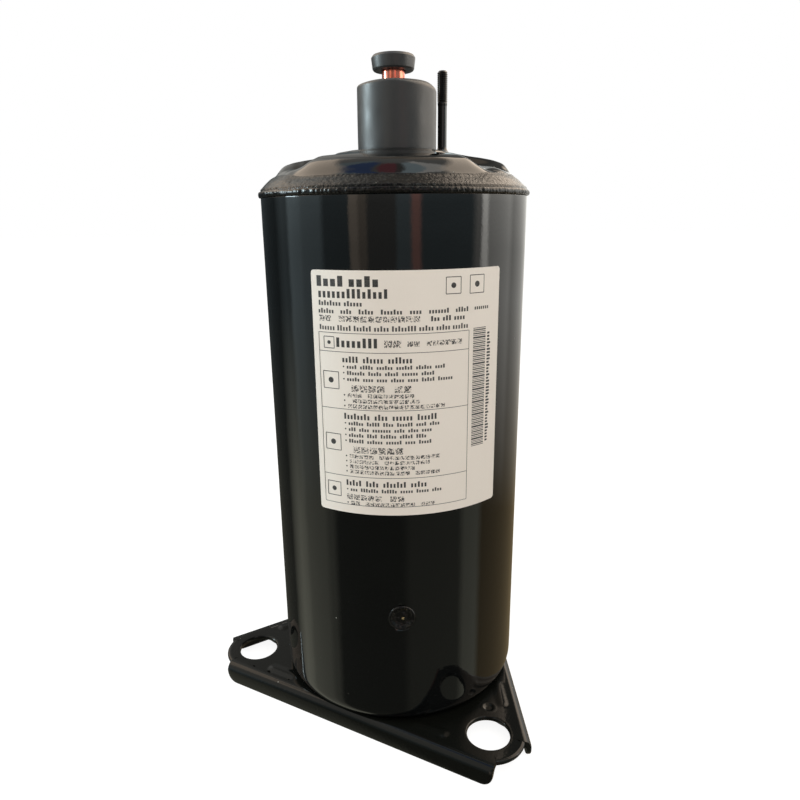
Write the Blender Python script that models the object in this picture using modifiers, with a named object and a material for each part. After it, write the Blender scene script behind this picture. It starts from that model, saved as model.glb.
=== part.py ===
"""A small hermetic rotary compressor for refrigeration, as an assembly of separate pieces.

Frame: the origin is on the shell's axis, on the plane that the base stands on. +Z is up. The foot holes are
at 180, 60 and -60 degrees around Z, and the label faces -Y. Sizes are in metres, written as millimetres
times mm.
"""
from math import asin, cos, degrees, hypot, pi, radians, sin

import bmesh
import bpy
from mathutils import Matrix, Vector

mm = 0.001
GAP = 0.3 * mm                      # left between pieces that touch
ASSEMBLY = "rotary_compressor"

# shell
SHELL_R = 59.0 * mm
SHELL_WALL = 3.0 * mm
RIM_Z = 245.0 * mm                  # joint of the can and the cap
CAN_CORNER_R = 7.0 * mm
DISH_R = 36.5 * mm                  # the can's bottom dish, which hangs through the base plate
CAP_WALL = 2.6 * mm
PLATEAU_R = 26.0 * mm
PLATEAU_RISE = 17.0 * mm
LOBE_ANGLES = (-95.0, 25.0, 145.0)  # degrees around Z
LOBE_INNER, LOBE_OUTER = 36.0, 50.0  # a lobe fades out between these angles from its middle

# base
PLATE_TOP = 10.0 * mm
PLATE_T = 2.2 * mm
FOOT_PCR = 76.5 * mm
FOOT_HOLE_R = 9.7 * mm
FOOT_CORNER_R = 16.5 * mm
FOOT_ANGLES = (180.0, 60.0, -60.0)
FLANGE_OUT = 57.0 * mm              # distance of a flange's outer face from the axis
SIDE_EDGE = 55.5 * mm               # distance of the flat's straight edges from the axis
FLANGE_FROM, FLANGE_TO = -72.0 * mm, 75.0 * mm  # along a side, counted from its middle
BASE_HOLE_R = 38.5 * mm

# top fittings
TUBE_R = 4.95 * mm
TUBE_WALL = 0.8 * mm
TUBE_AT = 0.4 * mm                  # the tube stands a little to the +X side of the shell's axis
SLEEVE_R = 17.2 * mm
SLEEVE_AT = 1.7 * mm                # and the loose sleeve leans further that way
SLEEVE_TOP = 290.0 * mm
PLUG_BOTTOM = 295.2 * mm
PLUG_TOP = 301.2 * mm
STUD_AT = (22.5 * mm, 9.5 * mm)
STUD_R = 2.35 * mm
STUD_TOP = 297.0 * mm
THREAD_FROM = 284.0 * mm
TERMINAL_AT = (0.5 * mm, 38.0 * mm)
TERMINAL_R = 13.1 * mm
TERMINAL_SEAT_R = 15.5 * mm
TERMINAL_SEAT_RISE = 10.0 * mm
PIN_PCR = 6.2 * mm

# label
LABEL_FROM, LABEL_TO = -125.0, -46.6
LABEL_BOTTOM, LABEL_TOP = 114.9 * mm, 215.5 * mm

# pump
PUMP_Z = 65.7 * mm                  # middle of the cylinder block, level with the plug welds
BLOCK_HALF = 10.0 * mm
BORE_R = 21.5 * mm
ECCENTRICITY = 4.0 * mm
PISTON_R = 17.35 * mm
PISTON_BORE_R = 12.9 * mm
ECCENTRIC_R = 12.7 * mm
JOURNAL_R = 8.0 * mm
LOWER_JOURNAL_R = 7.2 * mm
RUNNING = 0.15 * mm                 # radial room of the running fits, larger than real ones
VANE_ANGLE = 80.0
VANE_HALF_T = 1.6 * mm
VANE_TIP_R = 21.65 * mm
VANE_LENGTH = 22.0 * mm
CRANK_ANGLE = VANE_ANGLE + 135.0    # the eccentric's direction at rest
SUCTION_ANGLE = 110.0
SUCTION_PORT_R = 5.3 * mm
PORT_ANGLE, PORT_R, PORT_HOLE_R = 60.0, 20.0 * mm, 2.4 * mm
RIVET_ANGLE = 5.0
BOLT_PCR = 33.0 * mm
BOLT_ANGLES = [140.0 + 72.0 * i for i in range(5)]
BOLT_R = 2.4 * mm
BEARING_T = 8.0 * mm
PLUG_WELD_ANGLES = (-90.0, 30.0, 150.0)
PLUG_WELD_R = 6.4 * mm

# motor
STACK_BOTTOM, STACK_TOP = 128.0 * mm, 188.0 * mm
STATOR_BORE_R = 31.0 * mm
SLOTS = 24
ROTOR_R = 30.2 * mm
END_RING_T = 4.0 * mm
WEIGHT_T = 8.0 * mm

# accumulator
ACC_AT = 93.0 * mm                  # distance of its axis from the shell's axis
ACC_R = 25.5 * mm
ACC_WALL = 1.6 * mm
ACC_BOTTOM, ACC_TOP = 95.0 * mm, 225.0 * mm
SUCTION_TUBE_R = 5.0 * mm
STRAP_Z = 190.0 * mm
STRAP_T = 1.5 * mm
STRAP_HALF_H = 7.0 * mm

COLOURS = {
    # name: (colour, roughness, metallic)
    "black_enamel": ((0.012, 0.013, 0.014), 0.18, 0.0),
    "grey_rubber": ((0.075, 0.078, 0.08), 0.62, 0.0),
    "copper": ((0.78, 0.33, 0.20), 0.25, 1.0),
    "steel": ((0.55, 0.55, 0.56), 0.32, 1.0),
    "cast_iron": ((0.20, 0.20, 0.21), 0.55, 0.7),
    "lamination": ((0.30, 0.31, 0.34), 0.40, 0.9),
    "enamelled_wire": ((0.55, 0.20, 0.06), 0.30, 0.6),
    "aluminium": ((0.75, 0.76, 0.77), 0.35, 1.0),
    "brass": ((0.78, 0.62, 0.30), 0.30, 1.0),
    "glass": ((0.10, 0.22, 0.20), 0.08, 0.0),
    "paper": ((0.80, 0.77, 0.71), 0.50, 0.0),
    "lead_insulation": ((0.75, 0.74, 0.68), 0.55, 0.0),
    "weld": ((0.02, 0.02, 0.021), 0.30, 0.2),
}


def collection(name):
    made = bpy.data.collections.new(name)
    bpy.context.scene.collection.children.link(made)
    return made


for old in list(bpy.data.objects):
    bpy.data.objects.remove(old, do_unlink=True)
PARTS = collection(ASSEMBLY)
CUTTERS = collection("cutters")


# ---------------------------------------------------------------- helpers

def polar(radius, degrees):
    return radius * cos(radians(degrees)), radius * sin(radians(degrees))


def material(piece, kind):
    colour, roughness, metallic = COLOURS[kind]
    made = bpy.data.materials.new(piece + "_" + kind)
    made.use_nodes = True
    shader = made.node_tree.nodes["Principled BSDF"]
    shader.inputs["Base Color"].default_value = (*colour, 1.0)
    shader.inputs["Roughness"].default_value = roughness
    shader.inputs["Metallic"].default_value = metallic
    return made


def add(name, data, kind=None):
    """Link a new object: a part with its material, or a cutter when kind is None."""
    made = bpy.data.objects.new(name, data)
    if kind is None:
        CUTTERS.objects.link(made)
        made.hide_render = True
        made.display_type = 'WIRE'
    else:
        PARTS.objects.link(made)
        data.materials.append(material(name, kind))
    return made


def smooth(mesh, angle=35.0):
    mesh.shade_smooth()
    mesh.set_sharp_from_angle(angle=radians(angle))


def turned(name, profile, kind=None, steps=32, at=(0, 0, 0), closed=False):
    """Turn a profile of (radius, z) about Z. It runs down the outside; a closed one comes back up inside."""
    mesh = bpy.data.meshes.new(name)
    edges = [(i, i + 1) for i in range(len(profile) - 1)]
    if closed:
        edges.append((len(profile) - 1, 0))
    mesh.from_pydata([(r, 0.0, z) for r, z in profile], edges, [])
    made = add(name, mesh, kind)
    turn = made.modifiers.new("turn", 'SCREW')
    turn.axis = 'Z'
    turn.steps = turn.render_steps = steps
    turn.use_merge_vertices = True
    turn.merge_threshold = 0.00001
    turn.use_smooth_shade = True
    made.location = at
    return made


def ring(name, inner, outer, low, high, kind=None, steps=32, at=(0, 0, 0)):
    profile = [(outer, high), (outer, low), (inner, low), (inner, high)]
    return turned(name, profile, kind, steps, at, closed=True)


def cylinder(name, radius, low, high, kind=None, steps=24, at=(0, 0)):
    """An upright cylinder between two heights."""
    mesh = bpy.data.meshes.new(name)
    form = bmesh.new()
    bmesh.ops.create_cone(form, cap_ends=True, segments=steps, radius1=radius, radius2=radius,
                          depth=high - low)
    form.to_mesh(mesh)
    form.free()
    smooth(mesh)
    made = add(name, mesh, kind)
    made.location = (at[0], at[1], (low + high) / 2)
    return made


def box(name, size, centre, kind=None, turn=0.0):
    """A box with its scale applied, turned about Z by some degrees."""
    mesh = bpy.data.meshes.new(name)
    form = bmesh.new()
    bmesh.ops.create_cube(form, size=1.0, matrix=Matrix.Diagonal((*size, 1.0)))
    form.to_mesh(mesh)
    form.free()
    made = add(name, mesh, kind)
    made.location = centre
    made.rotation_euler.z = radians(turn)
    return made


def lay_radial(made, degrees, radius, z):
    """Turn an upright piece so that its +Z points outward along a radius, and put its origin there."""
    out = Vector((*polar(1.0, degrees), 0.0))
    made.rotation_mode = 'QUATERNION'
    made.rotation_quaternion = out.to_track_quat('Z', 'Y')
    made.location = (*polar(radius, degrees), z)


def outline_mesh(name, outlines, thickness):
    """A flat piece: closed outlines in XY, the later ones being holes, extruded evenly about z = 0."""
    curve = bpy.data.curves.new(name, 'CURVE')
    curve.dimensions = '2D'
    curve.fill_mode = 'BOTH'
    curve.extrude = thickness / 2
    for points in outlines:
        spline = curve.splines.new('POLY')
        spline.points.add(len(points) - 1)
        for point, (x, y) in zip(spline.points, points):
            point.co = (x, y, 0.0, 1.0)
        spline.use_cyclic_u = True
    return mesh_of(curve, name)


def mesh_of(curve, name):
    """The closed mesh of a curve, with its loose caps welded."""
    holder = bpy.data.objects.new(name + "_curve", curve)
    CUTTERS.objects.link(holder)
    graph = bpy.context.evaluated_depsgraph_get()
    graph.update()
    mesh = bpy.data.meshes.new_from_object(holder.evaluated_get(graph))
    bpy.data.objects.remove(holder)
    form = bmesh.new()
    form.from_mesh(mesh)
    bmesh.ops.remove_doubles(form, verts=form.verts, dist=0.000005)
    bmesh.ops.recalc_face_normals(form, faces=form.faces)
    form.to_mesh(mesh)
    form.free()
    mesh.name = name
    mesh.materials.clear()
    return mesh


def plate(name, outlines, low, high, kind=None):
    made = add(name, outline_mesh(name, outlines, high - low), kind)
    made.location.z = (low + high) / 2
    return made


def tube_mesh(name, points, radius, sides=12):
    curve = bpy.data.curves.new(name, 'CURVE')
    curve.dimensions = '3D'
    curve.bevel_depth = radius
    curve.bevel_resolution = sides // 2 - 2
    curve.use_fill_caps = True
    spline = curve.splines.new('POLY')
    spline.points.add(len(points) - 1)
    for point, place in zip(spline.points, points):
        point.co = (*place, 1.0)
    mesh = mesh_of(curve, name)
    smooth(mesh)
    return mesh


def cut(made, cutter, operation='DIFFERENCE'):
    change = made.modifiers.new(operation.lower(), 'BOOLEAN')
    change.operation = operation
    change.object = cutter
    return made


def arc(radius, start, stop, steps, centre=(0.0, 0.0)):
    """Points along an arc, both ends included, angles in degrees."""
    turns = [start + (stop - start) * i / steps for i in range(steps + 1)]
    return [(centre[0] + radius * cos(radians(a)), centre[1] + radius * sin(radians(a))) for a in turns]


def circle(radius, steps=32, centre=(0.0, 0.0)):
    return arc(radius, 0.0, 360.0 * (steps - 1) / steps, steps - 1, centre)


def fade(value, low, high):
    t = min(max((value - low) / (high - low), 0.0), 1.0)
    return t * t * (3.0 - 2.0 * t)


def along(value, table):
    """Straight-line reading of a short table of (place, height)."""
    for (x0, y0), (x1, y1) in zip(table, table[1:]):
        if value <= x1:
            return y0 + (y1 - y0) * max(value - x0, 0.0) / (x1 - x0)
    return table[-1][1]


# ---------------------------------------------------------------- shell

def shell_can():
    r, wall, corner = SHELL_R, SHELL_WALL, CAN_CORNER_R
    sit = PLATE_TOP + GAP
    inner = r - wall
    middle = (r - corner, sit + corner)
    bend = arc(corner, 0, -90, 3, middle)
    inner_bend = arc(corner - wall, -90, 0, 1, middle)
    floor = [(0.0, wall), (DISH_R - 4 * mm, wall), (DISH_R + 1 * mm, sit + wall)]
    top = RIM_Z - 1.8 * mm
    outside = bend + [(DISH_R + 1.6 * mm, sit), (DISH_R, sit - 2 * mm), (DISH_R - 3 * mm, 0.0), (0.0, 0.0)]
    can = turned("shell_can", floor + inner_bend + [(inner, top), (r, top)] + outside, "black_enamel", 48)
    for i, angle in enumerate(PLUG_WELD_ANGLES):
        hole = cylinder(f"weld_hole_{i}", PLUG_WELD_R + GAP, -6 * mm, 6 * mm, steps=16)
        lay_radial(hole, angle, SHELL_R, PUMP_Z)
        cut(can, hole)
    hole = cylinder("suction_hole", 8.5 * mm + GAP, -8 * mm, 8 * mm, steps=24)
    lay_radial(hole, SUCTION_ANGLE, SHELL_R, PUMP_Z)
    cut(can, hole)


# (radius, height above the rim) in millimetres, over a lobe and along a valley
LOBE_RISE = [(26.0, 17.0), (28.5, 15.8), (46.0, 13.8), (49.5, 12.4), (51.8, 9.4), (53.6, 4.8), (56.5, 3.4),
             (58.9, 1.4)]
VALLEY_RISE = [(26.0, 17.0), (29.5, 11.6), (40.0, 10.2), (50.0, 8.4), (53.6, 6.4), (56.5, 4.2), (58.9, 1.4)]


def cap_height(x, y):
    """Height of the cap's outer surface above the rim: three lobes, valleys between them, and a seat."""
    radius = hypot(x, y) / mm
    if radius <= PLATEAU_R / mm:
        rise = PLATEAU_RISE / mm
    else:
        turn = Vector((x, y)).angle_signed(Vector((1.0, 0.0)))
        apart = min(abs((turn - radians(a) + pi) % (2 * pi) - pi) for a in LOBE_ANGLES)
        valley = fade(apart * 180 / pi, LOBE_INNER, LOBE_OUTER)
        rise = along(radius, LOBE_RISE) * (1 - valley) + along(radius, VALLEY_RISE) * valley
    seat = fade(hypot(x - TERMINAL_AT[0], y - TERMINAL_AT[1]), TERMINAL_SEAT_R, TERMINAL_SEAT_R - 3 * mm)
    if radius > 56.0:
        seat = 0.0
    return rise * mm * (1 - seat) + TERMINAL_SEAT_RISE * seat


def top_cap():
    """The cap's outer surface as rings of points around the discharge tube's hole, thickened inwards."""
    radii = [8.3, 22.4, 26.0, 28.5, 37.0, 46.0, 49.5, 51.8, 53.6, 56.5, 58.9]
    spokes = 36
    form = bmesh.new()
    rows = []
    for radius in radii:
        row = []
        for i in range(spokes):
            x, y = polar(radius * mm, 360.0 * i / spokes)
            row.append(form.verts.new((x, y, RIM_Z + cap_height(x, y))))
        rows.append(row)
    rows.append([form.verts.new((v.co.x, v.co.y, RIM_Z - 1.2 * mm)) for v in rows[-1]])
    for inner, outer in zip(rows, rows[1:]):
        for i in range(spokes):
            j = (i + 1) % spokes
            form.faces.new((inner[i], outer[i], outer[j], inner[j]))
    mesh = bpy.data.meshes.new("top_cap")
    form.to_mesh(mesh)
    form.free()
    smooth(mesh)
    cap = add("top_cap", mesh, "black_enamel")
    thick = cap.modifiers.new("wall", 'SOLIDIFY')
    thick.thickness = CAP_WALL
    thick.offset = -1.0
    hole = cylinder("terminal_hole", TERMINAL_R + GAP, RIM_Z - 5 * mm, RIM_Z + 30 * mm, at=TERMINAL_AT)
    cut(cap, hole)


def welds():
    low, high = RIM_Z - 2.6 * mm, RIM_Z + 1.2 * mm
    near, far = SHELL_R + GAP, SHELL_R + 1.7 * mm
    middle = (low + high) / 2
    bead = [(near, high), (far - 0.6 * mm, high - 0.5 * mm), (far, middle), (far - 0.6 * mm, low + 0.5 * mm),
            (near, low)]
    turned("top_weld_bead", bead, "weld", 48, closed=True)
    for i, angle in enumerate(PLUG_WELD_ANGLES, 1):
        r = PLUG_WELD_R
        face = [(0.0, 2.6 * mm), (r * 0.62, 2.6 * mm), (r * 0.8, 3.4 * mm), (r, 3.0 * mm), (r, 0.0),
                (0.0, 0.0)]
        weld = turned(f"plug_weld_{i}", face, "weld", 16)
        lay_radial(weld, angle, SHELL_R - SHELL_WALL, PUMP_Z)


def mounting_base():
    """A triangle with a round lug at each foot hole, and a turned-down flange along each side."""
    outline = []
    to_lug = FOOT_PCR * sin(radians(60))    # from a side's middle to a foot hole, along the side
    start, stop = FLANGE_FROM + 0.6 * mm, FLANGE_TO - 0.6 * mm
    for angle in sorted(FOOT_ANGLES):
        before = 60 - degrees(asin((stop - to_lug) / FOOT_CORNER_R))
        after = 60 - degrees(asin((-start - to_lug) / FOOT_CORNER_R))
        outline += arc(FOOT_CORNER_R, angle - before, angle + after, 8, polar(FOOT_PCR, angle))
        edge, heading = Vector(polar(SIDE_EDGE, angle + 60)), Vector(polar(1.0, angle + 150))
        outline += [tuple(edge + heading * along) for along in (start, stop)]
    holes = [circle(FOOT_HOLE_R, 24, polar(FOOT_PCR, angle)) for angle in FOOT_ANGLES]
    holes.append(circle(BASE_HOLE_R, 40))
    base = plate("mounting_base", [outline] + holes, PLATE_TOP - PLATE_T, PLATE_TOP, "black_enamel")
    drop = PLATE_TOP - 0.7 * mm
    corner = 5.5 * mm
    start, stop = FLANGE_FROM, FLANGE_TO
    shape = [(stop, drop), (start, drop)] + arc(corner, 180, 270, 4, (start + corner, corner))
    shape += arc(corner, 270, 360, 4, (stop - corner, corner))
    for i, angle in enumerate(FOOT_ANGLES):
        side = add(f"flange_{i}", outline_mesh(f"flange_{i}", [shape], PLATE_T))
        upright = Matrix.Rotation(radians(90), 4, 'X')
        turn = Matrix.Rotation(radians(angle + 60 + 90), 4, 'Z')
        place = Matrix.Translation((*polar(FLANGE_OUT - PLATE_T / 2, angle + 60), 0.0))
        side.matrix_world = place @ turn @ upright
        cut(base, side, 'UNION')


def nameplate_label():
    near, far = SHELL_R + GAP, SHELL_R + 2 * GAP
    sheet = arc(near, LABEL_FROM, LABEL_TO, 24) + arc(far, LABEL_TO, LABEL_FROM, 24)
    plate("nameplate_label", [sheet], LABEL_BOTTOM, LABEL_TOP, "paper")


# ---------------------------------------------------------------- fittings on the cap

def discharge_fittings():
    top = PLUG_TOP - 2.2 * mm
    at = (TUBE_AT, 0.0, 0.0)
    ring("discharge_tube", TUBE_R - TUBE_WALL, TUBE_R, RIM_Z - 6 * mm, top, "copper", 28, at)
    ring("discharge_collar", TUBE_R + GAP, 7.6 * mm, RIM_Z + 12 * mm, RIM_Z + 19 * mm, "steel", 28, at)
    low, high, r = RIM_Z + PLATEAU_RISE + GAP, SLEEVE_TOP, SLEEVE_R
    bore = TUBE_R + 1.8 * mm
    sleeve = [(bore, high), (r - 2.4 * mm, high), (r - 0.8 * mm, high - 0.7 * mm), (r, high - 2.4 * mm),
              (r, low), (9.6 * mm, low), (9.6 * mm, RIM_Z + 20 * mm), (bore, RIM_Z + 20 * mm)]
    turned("discharge_sleeve", sleeve, "grey_rubber", 32, at=(SLEEVE_AT, 0, 0), closed=True)
    rubber_plug("discharge_plug", PLUG_BOTTOM, PLUG_TOP, top + GAP, (TUBE_AT, 0))


def rubber_plug(name, low, high, roof, at):
    """A flared rubber cap pushed over a tube's end. Its blind bore ends at roof."""
    bore = TUBE_R + GAP
    profile = [(0.0, high), (8.6 * mm, high - 0.2 * mm), (9.5 * mm, high - 1.1 * mm),
               (8.95 * mm, low + 0.5 * mm), (8.5 * mm, low), (bore, low), (bore, roof), (0.0, roof)]
    turned(name, profile, "grey_rubber", 28, at=(*at, 0.0))


def terminal_stud():
    low = RIM_Z + PLATEAU_RISE + GAP
    shank = STUD_R - 0.3 * mm
    profile = [(0.0, STUD_TOP), (STUD_R - 0.5 * mm, STUD_TOP), (STUD_R, STUD_TOP - 0.6 * mm),
               (STUD_R, THREAD_FROM), (shank, THREAD_FROM - 0.5 * mm), (shank, low + 3.5 * mm),
               (3.4 * mm, low), (0.0, low)]
    turned("terminal_stud", profile, "black_enamel", 24, at=(*STUD_AT, 0.0))


def terminal():
    seat = RIM_Z + TERMINAL_SEAT_RISE
    x, y = TERMINAL_AT
    r = TERMINAL_R
    top = seat + 3.0 * mm
    low, inner = seat - 5 * mm, r - 1.8 * mm
    cup = [(0.0, top), (r - 2 * mm, top), (r, top - 1.6 * mm), (r, low), (inner, low),
           (inner, top - 2.4 * mm), (0.0, top - 2.4 * mm)]
    steel_cup = turned("terminal_cup", cup, "steel", 24, at=(x, y, 0.0))
    bead_r, pin_r = 3.0 * mm, 1.5 * mm
    for i, angle in enumerate((90.0, 210.0, 330.0), 1):
        dx, dy = polar(PIN_PCR, angle)
        spot = (x + dx, y + dy)
        hole = cylinder(f"bead_hole_{i}", bead_r + GAP, top - 6 * mm, top + 3 * mm, steps=14, at=spot)
        cut(steel_cup, hole)
        cylinder(f"terminal_pin_{i}", pin_r, seat - 14 * mm, seat + 15 * mm, "brass", 14, spot)
        ring(f"terminal_bead_{i}", pin_r + 0.15 * mm, bead_r, top - 4 * mm, top + 1.6 * mm, "glass", 16,
             (*spot, 0.0))
    low = seat - 15.5 * mm
    block = cylinder("lead_connector", 10.0 * mm, low, seat - 7 * mm, "lead_insulation", 28, (x, y))
    for i, angle in enumerate((90.0, 210.0, 330.0), 1):
        dx, dy = polar(PIN_PCR, angle)
        spot = (x + dx, y + dy)
        socket = cylinder(f"socket_{i}", pin_r + 0.2 * mm, seat - 20 * mm, seat, steps=12, at=spot)
        cut(block, socket)


def lead_wires():
    """Three insulated leads from the top of the winding to just under the connector block."""
    end_z = RIM_Z + TERMINAL_SEAT_RISE - 15.5 * mm - GAP
    for i, (start, angle) in enumerate(((60.0, 0.0), (85.0, 90.0), (112.0, 180.0)), 1):
        sx, sy = polar(40.0 * mm, start)
        low = STACK_TOP + 18.3 * mm + 1.5 * mm
        ex, ey = polar(5.0 * mm, angle)
        ex, ey = ex + TERMINAL_AT[0], ey + TERMINAL_AT[1]
        points = []
        for k in range(13):
            t = k / 12
            sway = sin(pi * t) * (i - 2) * 3.0 * mm
            points.append((sx + (ex - sx) * fade(t, 0.1, 0.9) - sway, sy + (ey - sy) * fade(t, 0.1, 0.9),
                           low + (end_z - low) * t))
        mesh = tube_mesh(f"lead_wire_{i}", points, 1.2 * mm, 8)
        add(f"lead_wire_{i}", mesh, "lead_insulation")


# ---------------------------------------------------------------- motor

def stator():
    outer = circle(SHELL_R - SHELL_WALL - GAP, 48)
    pitch = 360.0 / SLOTS
    inner = []
    for i in range(SLOTS):
        middle = i * pitch
        mouth, body, back = 2.0, 4.4, 4.6
        inner += [polar(STATOR_BORE_R, middle - mouth), polar(33.4 * mm, middle - body),
                  polar(46.6 * mm, middle - back), polar(46.6 * mm, middle + back),
                  polar(33.4 * mm, middle + body), polar(STATOR_BORE_R, middle + mouth)]
    plate("stator_core", [outer, inner], STACK_BOTTOM, STACK_TOP, "lamination")

    def coil_end(name, low, high, kind=None):
        r0, r1, c = 32.6 * mm, 48.0 * mm, 3.0 * mm
        outer = high if high > STACK_TOP else low
        inner = low + high - outer
        bulge = c if outer > inner else -c
        shape = [(r1 - c, outer), (r1, outer - bulge), (r1, inner), (r0, inner), (r0, outer - bulge),
                 (r0 + c, outer)]
        if outer < inner:
            shape.reverse()
        return turned(name, shape, kind, closed=True)

    top = coil_end("stator_winding", STACK_TOP + GAP, STACK_TOP + 18 * mm, "enamelled_wire")
    bottom = coil_end("lower_coil_end", STACK_BOTTOM - 18 * mm, STACK_BOTTOM - GAP)
    bars = bmesh.new()
    reach = STACK_TOP - STACK_BOTTOM + 12 * mm
    for i in range(SLOTS):
        place = Matrix.Rotation(radians(i * pitch), 4, 'Z') @ Matrix.Translation(
            (40.2 * mm, 0.0, (STACK_BOTTOM + STACK_TOP) / 2))
        size = Matrix.Diagonal((11.0 * mm, 3.6 * mm, reach, 1.0))
        bmesh.ops.create_cube(bars, size=1.0, matrix=place @ size)
    mesh = bpy.data.meshes.new("slot_bars")
    bars.to_mesh(mesh)
    bars.free()
    cut(top, add("slot_bars", mesh), 'UNION')
    cut(top, bottom, 'UNION')


def rotor():
    shaft_room = JOURNAL_R + RUNNING
    ring("rotor_core", shaft_room, ROTOR_R, STACK_BOTTOM, STACK_TOP, "lamination", 40)
    upper, lower = STACK_TOP + GAP, STACK_BOTTOM - GAP
    ring("rotor_end_ring_top", 20.0 * mm, 29.5 * mm, upper, upper + END_RING_T, "aluminium")
    ring("rotor_end_ring_bottom", 20.0 * mm, 29.5 * mm, lower - END_RING_T, lower, "aluminium")
    for name, low, side in (("balance_weight_top", upper + END_RING_T + GAP, 180.0),
                            ("balance_weight_bottom", lower - END_RING_T - GAP - WEIGHT_T, 0.0)):
        middle = CRANK_ANGLE + side
        shape = arc(28.5 * mm, middle - 85, middle + 85, 16) + arc(19.0 * mm, middle + 85, middle - 85, 12)
        plate(name, [shape], low, low + WEIGHT_T, "brass")


def crankshaft():
    """Journals and eccentric in one piece, with the oil bore open at the lower end."""
    ex, ey = polar(ECCENTRICITY, CRANK_ANGLE)
    r, low_r = JOURNAL_R, LOWER_JOURNAL_R
    step = PUMP_Z - 7 * mm
    bottom, top = 30.0 * mm, STACK_TOP + 8 * mm
    profile = [(0.0, top), (r - 0.8 * mm, top), (r, top - 0.8 * mm), (r, step), (low_r, step),
               (low_r, bottom + 0.6 * mm), (low_r - 0.6 * mm, bottom), (0.0, bottom)]
    shaft = turned("crankshaft", profile, "cast_iron")
    lobe = cylinder("eccentric", ECCENTRIC_R, PUMP_Z - 8.6 * mm, PUMP_Z + 8.6 * mm, steps=40, at=(ex, ey))
    cut(shaft, lobe, 'UNION')
    cut(shaft, cylinder("oil_bore", 3.0 * mm, bottom - 5 * mm, STACK_BOTTOM, steps=16))
    form = bmesh.new()
    bmesh.ops.create_cube(form, size=1.0, matrix=Matrix.Diagonal((4.4 * mm, 0.8 * mm, 34 * mm, 1.0)))
    long_edges = [e for e in form.edges if abs(e.verts[0].co.z - e.verts[1].co.z) > 20 * mm]
    bmesh.ops.subdivide_edges(form, edges=long_edges, cuts=11, use_grid_fill=True)
    mesh = bpy.data.meshes.new("oil_pickup")
    form.to_mesh(mesh)
    form.free()
    paddle = add("oil_pickup", mesh, "steel")
    twist = paddle.modifiers.new("twist", 'SIMPLE_DEFORM')
    twist.deform_method = 'TWIST'
    twist.deform_axis = 'Z'
    twist.angle = radians(180)
    paddle.location.z = 41.0 * mm


# ---------------------------------------------------------------- pump

def bolt_holes(made, low, high):
    for i, angle in enumerate(BOLT_ANGLES):
        hole = cylinder(f"{made.name}_bolt_hole_{i}", BOLT_R + GAP, low - 2 * mm, high + 2 * mm, steps=12,
                        at=polar(BOLT_PCR, angle))
        cut(made, hole)


def cylinder_block():
    low, high = PUMP_Z - BLOCK_HALF, PUMP_Z + BLOCK_HALF
    holes = [circle(BORE_R, 48)] + [circle(BOLT_R + GAP, 12, polar(BOLT_PCR, a)) for a in BOLT_ANGLES]
    block = plate("cylinder_block", [circle(SHELL_R - SHELL_WALL - GAP, 48)] + holes, low, high, "cast_iron")
    slot_end = 46.0 * mm
    width = 2 * (VANE_HALF_T + RUNNING)
    middle = (BORE_R - 3 * mm + slot_end) / 2
    slot = box("vane_slot", (slot_end - BORE_R + 3 * mm, width, 2 * BLOCK_HALF + 4 * mm),
               (*polar(middle, VANE_ANGLE), PUMP_Z), turn=VANE_ANGLE)
    cut(block, slot)
    spring_hole = cylinder("spring_hole", 3.3 * mm, 0.0, 16 * mm, steps=16)
    for vertex in spring_hole.data.vertices:
        vertex.co.z += 8 * mm
    lay_radial(spring_hole, VANE_ANGLE, 43.0 * mm, PUMP_Z)
    cut(block, spring_hole)
    port = cylinder("suction_port", SUCTION_PORT_R, -22 * mm, 22 * mm, steps=18)
    lay_radial(port, SUCTION_ANGLE, 40.0 * mm, PUMP_Z)
    cut(block, port)


def bearings():
    low = PUMP_Z + BLOCK_HALF + GAP
    high = low + BEARING_T
    bore = JOURNAL_R + RUNNING
    hub_top = high + 25 * mm
    shape = [(14.5 * mm, hub_top), (14.5 * mm, high), (40 * mm, high), (40 * mm, low), (bore, low),
             (bore, hub_top)]
    main = turned("main_bearing", shape, "cast_iron", closed=True)
    bolt_holes(main, low, high)
    cut(main, cylinder("discharge_port", PORT_HOLE_R, low - 2 * mm, high + 2 * mm, steps=16,
                       at=polar(PORT_R, PORT_ANGLE)))
    cut(main, cylinder("rivet_hole", 1.4 * mm + GAP, low + 2 * mm, high + 2 * mm, steps=12,
                       at=polar(PORT_R, RIVET_ANGLE)))
    high = PUMP_Z - BLOCK_HALF - GAP
    low = high - 7 * mm
    bore = LOWER_JOURNAL_R + RUNNING
    hub = 34 * mm
    shape = [(38 * mm, high), (38 * mm, low), (13 * mm, low), (13 * mm, hub), (bore, hub), (bore, high)]
    sub = turned("sub_bearing", shape, "cast_iron", closed=True)
    bolt_holes(sub, low, high)


def rolling_piston():
    low, high = PUMP_Z - BLOCK_HALF + 0.15 * mm, PUMP_Z + BLOCK_HALF - 0.15 * mm
    at = (*polar(ECCENTRICITY, CRANK_ANGLE), 0.0)
    ring("rolling_piston", PISTON_BORE_R, PISTON_R, low, high, "steel", 48, at)


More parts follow.
